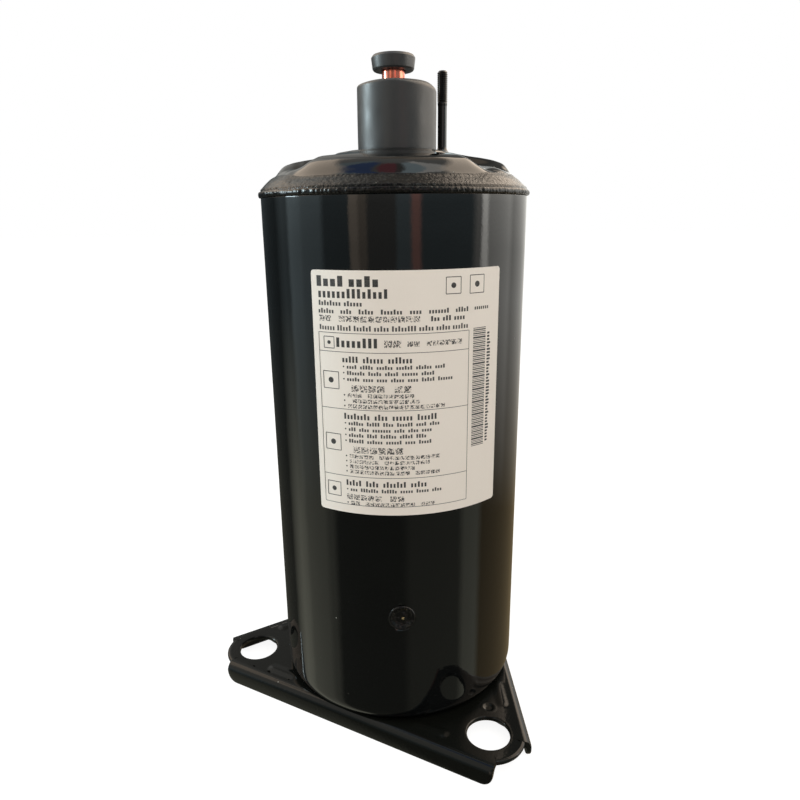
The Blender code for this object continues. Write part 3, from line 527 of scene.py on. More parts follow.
def insulation(name, tone=(0.66, 0.64, 0.56)):
    """Cream plastic or varnished sleeving with a faint mould grain."""
    look = material(name, IOR=1.5, Subsurface_Weight=0.04)
    patch = look.grain(3, 4.0)
    colour = look.blended(patch, tone, tuple(c * 0.8 for c in tone))
    rough = look.level(patch, 0.3, 0.7, 0.4, 0.6)
    normal = look.bump(look.grain(0.4), 0.02)
    return look.finish(colour, rough, normal)


SHELL_PAINT = enamel("shell_enamel")
CAP_PAINT = enamel("cap_enamel", peel=0.02, gloss=0.05, dust=0.16)
LEDGE_PAINT = enamel("ledge_enamel", gloss=0.06, dust=0.16, shine=0.20, crusted=True)
BASE_PAINT = enamel("base_enamel", peel=0.03, gloss=0.10, dust=0.22, dark=DULL_BLACK, shine=0.24)
STUD_PAINT = enamel("stud_enamel", peel=0.01, gloss=0.08, dust=0.02, dark=(0.003, 0.003, 0.003))
RUBBER = rubber("grey_rubber")
COPPER = metal("copper_tube", (0.82, 0.28, 0.20), 0.20, (0.66, 0.17, 0.11), 1.0, (1.0, 1.0, 0.15))
STEEL = metal("plated_steel", (0.52, 0.52, 0.53), 0.30, (0.38, 0.38, 0.39))
BRASS = metal("nickel_brass", (0.76, 0.62, 0.34), 0.24, (0.58, 0.46, 0.26), 0.8, (1.0, 1.0, 0.2))
ALUMINIUM = metal("cast_aluminium", (0.72, 0.73, 0.74), 0.36, (0.58, 0.59, 0.60), 0.7, depth=0.03)
HARD_STEEL = metal("ground_steel", (0.60, 0.60, 0.61), 0.18, (0.50, 0.50, 0.52), 0.5, (1.0, 1.0, 6.0))
WELD = weld_metal("enamelled_weld")
PAPER = paper("label_paper")
INK = ink("label_ink", (0.025, 0.024, 0.023))
FINE_INK = ink("label_fine_ink", (0.05, 0.048, 0.046))
GLYPH_INK = ink("label_glyph_ink", (0.03, 0.029, 0.028), 0.50)
LAMINATION = lamination("lamination_stack")
WINDING = winding("enamelled_winding")
CAST_IRON = cast("machined_iron")
GLASS = fused_glass("fused_glass")
INSULATION = insulation("lead_insulation")


# ------------------------ camera, floor and light

FACING = -91.3      # azimuth of the camera seen from the object, in degrees

# The room mirrored in the enamel: near the floor, level with the eye, higher up and overhead. Each band has
# a start and an end in degrees to the right of the camera, a radiance and a colour.
COOL, WARM, TAN, RED = (0.76, 0.94, 1.0), (1.0, 0.98, 0.92), (1.0, 0.84, 0.68), (1.0, 0.52, 0.44)
MOSS, OCHRE = (1.0, 1.0, 0.80), (1.0, 0.76, 0.42)
NAVY, MAROON = (0.45, 0.72, 1.6), (1.0, 0.30, 0.36)
ROOM_LOW = [(-180, -122, 0.06, MOSS), (-106, -98, 0.62, MOSS), (-93, -72, 0.47, MOSS),
            (-66, -63, 0.32, MOSS), (-57, 4, 0.08, MOSS), (12, 58, 0.17, MOSS), (65, 79, 0.48, MOSS),
            (86, 180, 0.24, OCHRE)]
ROOM_LEVEL = [(-180, -120, 0.05, COOL), (-108, -102, 0.24, COOL), (-98, -86, 0.72, COOL),
              (-82, -64, 0.58, COOL), (-59, -38, 0.20, COOL), (-36, -31, 0.85, TAN), (-28, -24, 0.5, TAN),
              (-21, 0, 0.19, WARM), (3, 12, 0.38, COOL), (15, 20, 0.95, RED), (23, 67, 0.24, COOL),
              (73, 76, 0.7, WARM), (79, 83, 3.1, WARM), (86, 113, 1.35, WARM), (120, 168, 0.8, WARM),
              (176, 180, 0.4, COOL)]
ROOM_HIGH = [(-180, -164, 0.40, WARM), (-158, -148, 0.9, WARM), (-140, -84, 2.8, TAN), (-77, -62, 1.0, WARM),
             (-54, -38, 0.8, WARM), (-30, 20, 0.16, COOL), (28, 60, 0.6, WARM), (72, 151, 3.8, TAN),
             (158, 180, 0.18, WARM)]
ROOM_TOP = [(-180, -164, 0.6, TAN), (-154, -108, 0.65, WARM), (-98, -88, 0.9, COOL), (-80, -44, 0.46, NAVY),
            (-38, -32, 0.5, WARM), (-24, 0, 0.75, MAROON), (6, 14, 0.3, WARM), (24, 56, 1.7, COOL),
            (62, 78, 2.3, WARM), (86, 112, 0.7, WARM), (122, 150, 0.9, TAN), (162, 180, 0.55, TAN)]


def room_band(look, turn, bands):
    """The colours of one level of the room, from behind on the left round to behind on the right."""
    ramp = look.node("ValToRGB", {0: turn})
    stops = ramp.color_ramp.elements
    edges = [(at, radiance, colour) for low, high, radiance, colour in bands for at in (low, high)]
    while len(stops) < len(edges):
        stops.new(1.0)
    for stop, (at, radiance, colour) in zip(stops, edges):
        stop.position = (at + 180.0) / 360.0
        stop.color = (*(c * radiance for c in colour), 1.0)
    return ramp.outputs[0]


def room():
    """The world: white for the camera, an even fill for matt faces, and the room's bands for glossy ones."""
    world = bpy.data.worlds.new("studio")
    bpy.context.scene.world = world
    look = Look(world, "Generated")
    turned = {"Vector": look.place, "Angle": radians(-FACING)}
    place = look.node("VectorRotate", turned, rotation_type='Z_AXIS').outputs[0]
    parts = look.node("SeparateXYZ", {0: place})
    swing = look.maths('ARCTAN2', parts.outputs[1], parts.outputs[0])
    turn = look.maths('ADD', look.maths('MULTIPLY', swing, 0.5 / pi), 0.5)
    height = parts.outputs[2]
    bands = [room_band(look, turn, bands) for bands in (ROOM_LOW, ROOM_LEVEL, ROOM_HIGH, ROOM_TOP)]
    colour = bands[0]
    for start, end, above in ((-0.42, -0.12, bands[1]), (0.20, 0.42, bands[2]), (0.84, 0.90, bands[3]),
                              (0.98, 0.995, (0.7, 0.69, 0.65))):
        colour = look.blended(look.level(height, start, end), colour, above)
    lift = look.level(height, -0.05, 0.12, 1.0, 1.9)
    lift = look.maths('MINIMUM', lift, look.level(height, 0.2, 0.4, 1.9, 1.0))
    sources = ((colour, lift), ((1.0, 0.97, 0.94, 1.0), 0.60), ((1.0, 1.0, 1.0, 1.0), 1.0))
    mirrored, fill, backdrop = (look.node("Background", {"Color": tone, "Strength": strength}).outputs[0]
                                for tone, strength in sources)
    path = look.node("LightPath").outputs
    both = look.node("MixShader", {0: path["Is Glossy Ray"], 1: fill, 2: mirrored}).outputs[0]
    both = look.node("MixShader", {0: path["Is Camera Ray"], 1: both, 2: backdrop}).outputs[0]
    look.tree.links.new(both, look.tree.nodes["World Output"].inputs["Surface"])


def floor():
    """A white floor with soft contact shadows, which the enamel doesn't mirror."""
    reach = 9000.0
    corners = [(-reach, -reach, 0), (reach, -reach, 0), (reach, reach, 0), (-reach, reach, 0)]
    flat = mesh_from("floor", corners, [(0, 1, 2, 3)])
    ground = bpy.data.objects.new("floor", flat)
    ground.location.z = -0.2 * mm
    ground.visible_glossy = False
    bpy.context.scene.collection.objects.link(ground)
    look = material("pale_floor", Roughness=0.8)
    colour = look.blended(look.grain(300), (0.30, 0.29, 0.27), (0.34, 0.33, 0.31))
    flat.materials.append(look.finish(colour, None))
    shade = look.node("BsdfDiffuse", {"Color": (0.26, 0.25, 0.24, 1.0)})
    glow = look.node("Emission", {"Color": (1.0, 1.0, 1.0, 1.0), "Strength": 0.90})
    seen = look.node("AddShader", {0: shade.outputs[0], 1: glow.outputs[0]})
    shader = look.tree.nodes["Principled BSDF"]
    ray = look.node("LightPath").outputs["Is Camera Ray"]
    both = look.node("MixShader", {0: ray, 1: shader.outputs[0], 2: seen.outputs[0]})
    look.tree.links.new(both.outputs[0], look.tree.nodes["Material Output"].inputs["Surface"])


def view():
    """The camera, at the photograph's place."""
    scene = bpy.context.scene
    scene.view_settings.view_transform = 'Standard'
    lens = bpy.data.cameras.new("camera")
    lens.sensor_width = 36.0
    lens.lens = 29.37
    lens.clip_start = 0.01
    camera = bpy.data.objects.new("camera", lens)
    scene.collection.objects.link(camera)
    heading, pitch, roll = radians(88.333), radians(15.678), radians(-0.602)
    ahead = Vector((cos(pitch) * cos(heading), cos(pitch) * sin(heading), -sin(pitch)))
    right = Vector((sin(heading), -cos(heading), 0.0))
    up = right.cross(ahead)
    across = right * cos(roll) + up * sin(roll)
    upward = up * cos(roll) - right * sin(roll)
    turn = Matrix((across, upward, -ahead)).transposed().to_4x4()
    camera.matrix_world = Matrix.Translation((-7.20 * mm, -308.21 * mm, 234.86 * mm)) @ turn
    scene.camera = camera


def lamps():
    """Soft panels: a bright window on the left, a warm key above, and a cool rim from behind."""
    middle = Vector((0.0, 0.0, 150 * mm))
    for name, turn, elevation, distance, width, height, radiance, colour, mirrored in (
            ("window", -93.0, 17.0, 1.3, 0.26, 0.40, 30.0, COOL, True),
            ("key", 10.0, 55.0, 1.3, 1.0, 0.8, 3.2, WARM, False),
            ("small_window", 26.0, 62.0, 1.3, 0.14, 0.10, 5.0, WARM, True),
            ("right_window", 80.0, 24.0, 1.3, 0.14, 0.5, 1.6, WARM, True),
            ("back_rim", 165.0, 60.0, 1.5, 0.7, 0.4, 2.0, COOL, False)):
        light = bpy.data.lights.new(name, 'AREA')
        light.shape = 'RECTANGLE'
        light.size, light.size_y = width, height
        light.energy = radiance * pi * width * height
        light.color = colour
        lamp = bpy.data.objects.new(name, light)
        lamp.visible_glossy = mirrored
        bpy.context.scene.collection.objects.link(lamp)
        out = Vector((*polar(cos(radians(elevation)), FACING + turn), sin(radians(elevation))))
        lamp.location = middle + out * distance
        lamp.rotation_mode = 'QUATERNION'
        lamp.rotation_quaternion = out.to_track_quat('Z', 'Y')


view()
room()
floor()
lamps()


# ------------------------ shell and welds

def can_body():
    """The deep-drawn can. Its wall is a few hundredths out of round, which bends the reflections."""
    wall, corner, dish_r, sit = 3.0, 7.0, 36.5, PLATE_TOP + 0.3
    bottom, inner = low_z("shell_can"), SHELL_R - wall
    outside = [(0.0, bottom), (dish_r - 3, bottom), (dish_r, sit - 2), (dish_r + 1.6, sit), (SHELL_R, sit),
               (SHELL_R, CAN_TOP), (inner, CAN_TOP)]
    inside = [(inner, sit + wall), (dish_r + 1, sit + wall), (dish_r - 4, bottom + wall),
              (0.0, bottom + wall)]
    radii = [0.0, 2, 1, 1, corner, 0.4, 0.4, corner - wall, 1, 2, 0.0]
    profile = divided(soften(outside + inside, radii, 10, closed=False), 3.0, closed=False)
    points, faces = revolve(profile, 288, closed=False)
    for p in points:
        radius = hypot(p[0], p[1])
        if radius >= SHELL_R - 8:
            swell = 0.05 * ripple(p[0], p[1], p[2] * 0.25, 26) + 0.026 * ripple(*p, 8, 4.0)
            p[:2] *= 1 + swell / radius
    can = piece("can_body", (points, faces), SHELL_PAINT, ["shell_can"], angle=50.0)
    for angle in PLUG_WELD_ANGLES:
        drill(can, moved(rod(5.4, -5, 4, 48), radial_place(angle, SHELL_R, PLUG_WELD_Z)))


# Rise of the cap over the rim, by the distance from its middle: over a lobe, and along a valley.
LOBE_RISE = [(0.0, 17.0), (24.0, 17.0), (29.0, 15.6), (38.0, 14.3), (44.0, 13.2), (48.5, 11.6), (51.4, 8.4),
             (53.4, 4.9), (56.5, 3.3), (58.9, 1.4), (60.0, 0.6)]
VALLEY_RISE = [(0.0, 17.0), (25.0, 17.0), (29.5, 11.6), (40.0, 10.2), (50.0, 8.4), (53.6, 6.4), (56.5, 4.2),
               (58.9, 1.4), (60.0, 0.6)]


def rise_curve(table, blur):
    """A short table of (radius, rise) in millimetres as a smooth curve, sampled every 0.1 mm."""
    fine = np.arange(0.0, 64.0, 0.1)
    heights = np.interp(fine, [r for r, _ in table], [h for _, h in table])
    window = np.exp(-0.5 * (np.arange(-40, 41) * 0.1 / blur) ** 2)
    padded = np.concatenate([np.full(40, heights[0]), heights, np.full(40, heights[-1])])
    return fine, np.convolve(padded, window / window.sum(), 'valid')


def off_lobe(turn):
    """How far directions lie from the nearest lobe's middle, in degrees."""
    return np.min([np.abs((turn - k + 180) % 360 - 180) for k in LOBE_ANGLES], axis=0)


def cap_rise(x, y):
    """Rise of the cap over the rim at a place, without its fine unevenness."""
    lobe, valley = rise_curve(LOBE_RISE, 0.9), rise_curve(VALLEY_RISE, 0.9)
    r, turn = np.hypot(x, y), np.degrees(np.arctan2(y, x))
    share = fade(off_lobe(turn), 38.0, 50.0)
    rise = np.interp(r, *lobe) * (1 - share) + np.interp(r, *valley) * share
    seat_at, seat_rise = centre("terminal_cup"), 10.0
    seat = 1 - fade(np.hypot(x - seat_at.x, y - seat_at.y), 14.2, 16.5)
    return rise * (1 - seat) + seat_rise * seat


def domed_cap():
    """The pressed cap: a flat middle, three shallow lobes with steep outer walls, and folded valleys."""
    spokes, wall, skirt_z = 360, 2.2, RIM_Z - 1.7
    pipe_hole_r, cup_hole_r, flat_r, ledge_r, inner_r, edge_r = 8.3, 13.2, 24.0, 53.3, 56.3, 58.9
    radii = np.concatenate([np.arange(pipe_hole_r, flat_r, 1.2), np.arange(flat_r, edge_r, 0.45), [edge_r]])
    turn = np.radians(np.arange(spokes) * 360.0 / spokes)
    r, a = np.meshgrid(radii, turn, indexing='ij')
    x, y = r * np.cos(a), r * np.sin(a)
    rise = cap_rise(x, y)
    rough = np.array([[0.10 * ripple(px, py, pz, 1.6) + 0.05 * ripple(px, py, pz, 0.7, 3.0)
                       for px, py, pz in zip(*row)] for row in zip(x, y, rise)])
    creased = 0.20 + 0.75 * fade(off_lobe(np.degrees(a)), 34.0, 50.0)
    soft = creased * np.array([[ripple(px, py, 0.0, 8.0, 7.0) for px, py in zip(*row)] for row in zip(x, y)])
    ledge = fade(r, 51.5, 54.0)
    rise = rise + rough * ledge + soft * (1 - ledge) * fade(r, 22.0, 27.0)
    outer = np.stack([x, y, rise + RIM_Z], axis=-1)
    x, y = x * inner_r / edge_r, y * inner_r / edge_r
    around = [(0.0, 0.0)] + [polar(wall, 45.0 * k) for k in range(8)]
    under = np.min([cap_rise(x + dx, y + dy) for dx, dy in around], axis=0) - wall + 0.5
    inner = np.stack([x, y, np.minimum(under, rise - wall + 0.2) + RIM_Z], axis=-1)
    inner[-1, :, 2] = skirt_z
    skirt = outer[-1].copy()
    skirt[:, 2] = skirt_z
    rows = list(outer) + [skirt] + list(inner[::-1])
    form = np.concatenate(rows), bridge(rings_of(len(rows), spokes), closed=True)
    cap = piece("domed_cap", form, CAP_PAINT, ["top_cap"], angle=60.0)
    drill(cap, upright(rod(cup_hole_r, -6, 20, 64), centre("terminal_cup"), RIM_Z))
    cap.data.materials.append(LEDGE_PAINT)
    for face in cap.data.polygons:
        face.material_index = int(hypot(face.center.x, face.center.y) > ledge_r * mm)


def cap_weld():
    """The weld between the can and the cap: a lumpy bead with fine ripples."""
    spokes, sides = 1080, 16
    low, high, inner = -1.8, 0.6, SHELL_R + 0.05
    middle, half = (low + high) / 2, (high - low) / 2
    points = []
    for k in range(spokes):
        a = 2 * pi * k / spokes
        cx, cy = cos(a), sin(a)

        def along(size, seed=0.0, lift=0.0):
            return ripple(cx * SHELL_R, cy * SHELL_R, lift, size, seed)

        lump = 1.0 + 0.35 * along(4.5) + 0.3 * along(1.6, 5.0)
        drift = 0.25 * along(7, 9.0)
        comb = max(0.0, 1.6 * along(22, 2.0))
        for s in range(sides):
            t = pi * s / (sides - 1) - pi / 2
            wave = 0.10 * comb * sin(a * 210.0 + 1.2 * cos(t)) * cos(t)
            pit = 0.16 * along(0.6, 1.0, t * 0.6) * cos(t)
            out = inner + 0.85 * lump * cos(t) ** 0.8 + wave + pit
            points.append((out * cx, out * cy, RIM_Z + middle + drift + half * sin(t)))
    faces = bridge(rings_of(spokes, sides), closed=True)
    piece("cap_weld", (points, faces), WELD, ["top_weld_bead"], angle=70.0)


def plug_welds():
    """Where the pump is welded through the shell: a ring of weld round a sunken middle with a wire's end."""
    section = [(0.0, -0.7), (1.5, -0.6), (2.8, -0.7), (3.9, -0.4), (4.6, 0.05), (5.1, 0.4), (5.7, 0.26),
               (5.95, -0.1), (5.4, -0.4), (5.3, -2.6), (0.0, -2.6)]
    section = divided(section, 0.35, closed=False)
    wire = soften([(0.0, -0.9), (0.75, -0.9), (0.6, -0.2), (0.0, -0.1)], 0.2, 3, closed=False)
    for i, angle in enumerate(PLUG_WELD_ANGLES, 1):
        points, faces = revolve(section, 96, closed=False)
        for p in points:
            radius = hypot(p[0], p[1])
            if p[2] > -1.6:
                lump = 0.34 * ripple(p[0], p[1], 0.0, 1.7, i * 3.0) + 0.1 * ripple(p[0], p[1], 0.0, 0.6, i)
                p[2] += lump * (1.0 - 0.75 * float(fade(radius, 3.9, 5.6)))
            p[2] -= SHELL_R - sqrt(max(SHELL_R ** 2 - p[0] ** 2, 0.0))
        place = radial_place(angle, SHELL_R, PLUG_WELD_Z)
        bead = moved((points, faces), place)
        piece(f"plug_weld_bead_{i}", bead, WELD, [f"plug_weld_{i}"], angle=70.0)
        chip = revolve(wire, 10, closed=False)
        for p in chip[0]:
            p[:2] *= 1 + 0.3 * ripple(*p, 0.5, 2.0)
        place = place @ Matrix.Translation((0.3, -0.6, 0.0))
        piece(f"plug_weld_wire_{i}", moved(chip, place), BRASS)


# ------------------------ base

def base_height(x, y):
    """Rise of the base's sheet over its flat: side ribs near the feet, and a dimple by one foot."""
    rise, rib_rise, rib_out, rib_along, rib_half = 0.0, 0.5, 48.0, 41.5, 6.5
    for side in (-120.0, 0.0, 120.0):
        out, along = Vector(polar(1.0, side)), Vector(polar(1.0, side + 90))
        o, s = out.x * x + out.y * y, along.x * x + along.y * y
        beyond = max(abs(abs(s) - rib_along) - rib_half, 0.0)
        rise += rib_rise * float(1 - fade(hypot(beyond, o - rib_out), 0.3, 3.6))
    near, radius, depth = hypot(x - 41.0, y + 50.3), 2.6, 0.5
    rise -= depth * float(1 - fade(near, radius * 0.7, radius))
    return rise + 0.3 * depth * float(1 - fade(abs(near - radius * 1.1), 0.0, radius * 0.3))


# The edge of the base's sheet, across the edge: (offset outward, height), from the top face round to the
# under face. The flange's list and the lug's have the same number of points.
FLANGE_EDGE = [(-4.0, 10.0), (-3.4, 9.99), (-2.6, 9.96), (-1.9, 9.9), (-1.3, 9.76), (-0.7, 9.5), (-0.1, 9.1),
               (0.5, 8.5), (1.0, 7.8), (1.35, 7.0), (1.45, 6.4), (1.45, 0.9), (1.3, 0.25), (0.9, 0.0),
               (-0.2, 0.0), (-0.6, 0.25), (-0.75, 0.9), (-0.75, 6.2), (-1.5, 7.4), (-4.0, 7.8)]
LUG_EDGE = [(-4.0, 10.0), (-3.5, 10.0), (-3.0, 10.0), (-2.5, 10.0), (-2.0, 10.0), (-1.5, 10.0),
            (-1.05, 9.97), (-0.6, 9.85), (-0.25, 9.62), (-0.05, 9.3), (0.0, 9.0), (0.0, 8.6), (-0.05, 8.3),
            (-0.2, 8.0), (-0.5, 7.84), (-0.9, 7.8), (-1.4, 7.8), (-2.0, 7.8), (-2.8, 7.8), (-4.0, 7.8)]
BEND = 10                                # the first point of FLANGE_EDGE on the flange's upright face


def base_rim():
    """Rows of points across the edge of the base, all the way round."""
    corner, to_lug = 5.5, FOOT_PCR * sin(radians(60))
    eased = corner * (1 - np.cos(np.radians(np.linspace(0, 90, 11))))
    places = [*(FLANGE_FROM + eased), *np.arange(FLANGE_FROM + corner + 1, FLANGE_TO - corner, 1.4),
              *(FLANGE_TO - eased[::-1])]
    before = 60 - degrees(asin((FLANGE_TO - to_lug) / FOOT_CORNER_R))
    after = 60 - degrees(asin((-FLANGE_FROM - to_lug) / FOOT_CORNER_R))
    rows = []
    for angle in FOOT_ANGLES:
        foot = Vector(polar(FOOT_PCR, angle))
        for turn in np.linspace(angle - before, angle + after, 33):
            out = Vector(polar(1.0, turn))
            rows.append([(*(foot + out * (FOOT_CORNER_R + o)), z) for o, z in LUG_EDGE])
        out, along = Vector(polar(1.0, angle + 60)), Vector(polar(1.0, angle + 150))
        for s in places:
            over = max(FLANGE_FROM + corner - s, s - FLANGE_TO + corner, 0.0)
            lift = corner - sqrt(max(corner ** 2 - over ** 2, 0.0))
            nip = 0.25 * (over / corner) ** 8
            row = []
            for k, (o, z) in enumerate(FLANGE_EDGE):
                height = max(z, min(z + lift, 6.2)) if k > BEND else z
                row.append((*(out * (SIDE_EDGE + o - nip * (o > 0)) + along * s), height))
            rows.append(row)
    return rows


def inside_outline(places, outline):
    """Which of the places lie inside a closed outline."""
    x, y = np.array([tuple(p) for p in places]).T
    hit = np.zeros(len(x), bool)
    for a, b in zip(outline, outline[1:] + outline[:1]):
        if a.y != b.y:
            crosses = (a.y > y) != (b.y > y)
            hit ^= crosses & (x < (b.x - a.x) * (y - a.y) / (b.y - a.y) + a.x)
    return hit


def pressed_base():
    """The triangular base: a flat sheet with three lugs, a flange down along each side, ribs and holes."""
    rim = base_rim()
    points = [p for row in rim for p in row]
    rows = rings_of(len(rim), len(FLANGE_EDGE))
    faces = []
    for here, there in zip(rows, rows[1:] + rows[:1]):
        faces += [(here[k], there[k], there[k + 1], here[k + 1]) for k in range(len(FLANGE_EDGE) - 1)]

    holes = [(polar(FOOT_PCR, a), FOOT_HOLE_R, 72) for a in FOOT_ANGLES] + [((0.0, 0.0), BASE_HOLE_R, 144)]
    edge, pitch = 0.6, 0.85

    def circle(at, radius, steps):
        return arc(radius, 0.0, 360.0 * (steps - 1) / steps, steps - 1, at)

    outlines = [[Vector(row[0][:2]) for row in rim]]
    outlines += [[Vector(p) for p in circle(at, radius + edge, steps)] for at, radius, steps in holes]
    flat = [p for outline in outlines for p in outline]
    starts = np.cumsum([0] + [len(outline) for outline in outlines])
    edges = [(start + k, start + (k + 1) % len(outline))
             for start, outline in zip(starts.tolist(), outlines) for k in range(len(outline))]

    loop = np.array([tuple(p) for p in flat])
    spots = []
    for j, y in enumerate(np.arange(-95, 95, pitch * 0.866)):
        spots += [Vector((x, y)) for x in np.arange(-96, 62, pitch) + (pitch / 2 if j % 2 else 0.0)]
    for spot, good in zip(spots, inside_outline(spots, outlines[0])):
        if good and all((spot - Vector(at)).length > radius for at, radius, _ in holes):
            if np.hypot(loop[:, 0] - spot.x, loop[:, 1] - spot.y).min() > 0.6:
                flat.append(spot)
    made, _, cells, origin, _, _ = geometry.delaunay_2d_cdt(flat, edges, [], 0, NEAR)
    middles = [sum((made[i] for i in cell), Vector((0.0, 0.0))) / 3 for cell in cells]
    kept = inside_outline(middles, outlines[0])
    for at, radius, _ in holes:
        kept &= np.array([(mid - Vector(at)).length > radius + 0.5 * edge for mid in middles])

    source = [next((i for i in group if i < len(flat)), None) for group in origin]
    top_of, under_of = {}, {}
    for new, old in enumerate(source):
        if old is not None and old < len(rim):
            top_of[new], under_of[new] = rows[old][0], rows[old][-1]
            continue
        x, y = made[new]
        top_of[new], under_of[new] = len(points), len(points) + 1
        points += [(x, y, height + base_height(x, y)) for height in (PLATE_TOP, PLATE_TOP - PLATE_T)]
    for cell, good in zip(cells, kept):
        if good:
            faces += [[top_of[i] for i in cell], [under_of[i] for i in reversed(cell)]]
    new_of = {old: new for new, old in enumerate(source) if old is not None}
    for start, (at, radius, steps) in zip(starts[1:], holes):
        rings = [[top_of[new_of[start + k]] for k in range(steps)]]
        for inset, drop in ((0.28, 0.08), (0.0, 0.6), (0.0, 1.6), (0.28, 2.12)):
            rings.append(range(len(points), len(points) + steps))
            points += [(x, y, PLATE_TOP - drop) for x, y in circle(at, radius + inset, steps)]
        rings.append([under_of[new_of[start + k]] for k in range(steps)])
        faces += bridge(rings)
    piece("pressed_base", (points, faces), BASE_PAINT, ["mounting_base"], angle=50.0)


# ------------------------ label

LABEL_LEFT = -125.0                 # azimuth of the label's left edge, in degrees
LABEL_LOW = low_z("nameplate_label")
LABEL_W, LABEL_H = 81.4, high_z("nameplate_label") - LABEL_LOW
LABEL_R = SHELL_R + 0.22


def wrapped(u, v, radius):
    """The point on the shell's side at u along the label and v up from its lower edge."""
    return (*polar(radius, LABEL_LEFT + degrees(u / SHELL_R)), LABEL_LOW + v)


def slab(outline, inner, outer, step=1.5):
    """A closed outline in label coordinates as a thin curved slab, filled with level strips."""
    outline = divided(outline, step)
    us, vs = zip(*outline)
    flat = [Vector(p) for p in outline]
    edges = [(k, (k + 1) % len(flat)) for k in range(len(flat))]
    if max(us) - min(us) > 4 * step:
        for u in np.arange(min(us) + step, max(us) - 0.5 * step, step):
            flat += [Vector((u, v)) for v in np.arange(min(vs) + 4 * step, max(vs) - 2 * step, 8 * step)]
    made, _, cells, _, _, _ = geometry.delaunay_2d_cdt(flat, edges, [], 1, NEAR)
    count = len(made)
    points = [wrapped(*p, outer) for p in made] + [wrapped(*p, inner) for p in made]
    faces = [tuple(cell) for cell in cells] + [tuple(i + count for i in reversed(cell)) for cell in cells]
    sides = {side for cell in cells for side in zip(cell, cell[1:] + cell[:1])}
    faces += [(b, a, a + count, b + count) for a, b in sides if (b, a) not in sides]
    return points, faces


def block(u, v, width, height):
    return [(u, v), (u + width, v), (u + width, v + height), (u, v + height)]


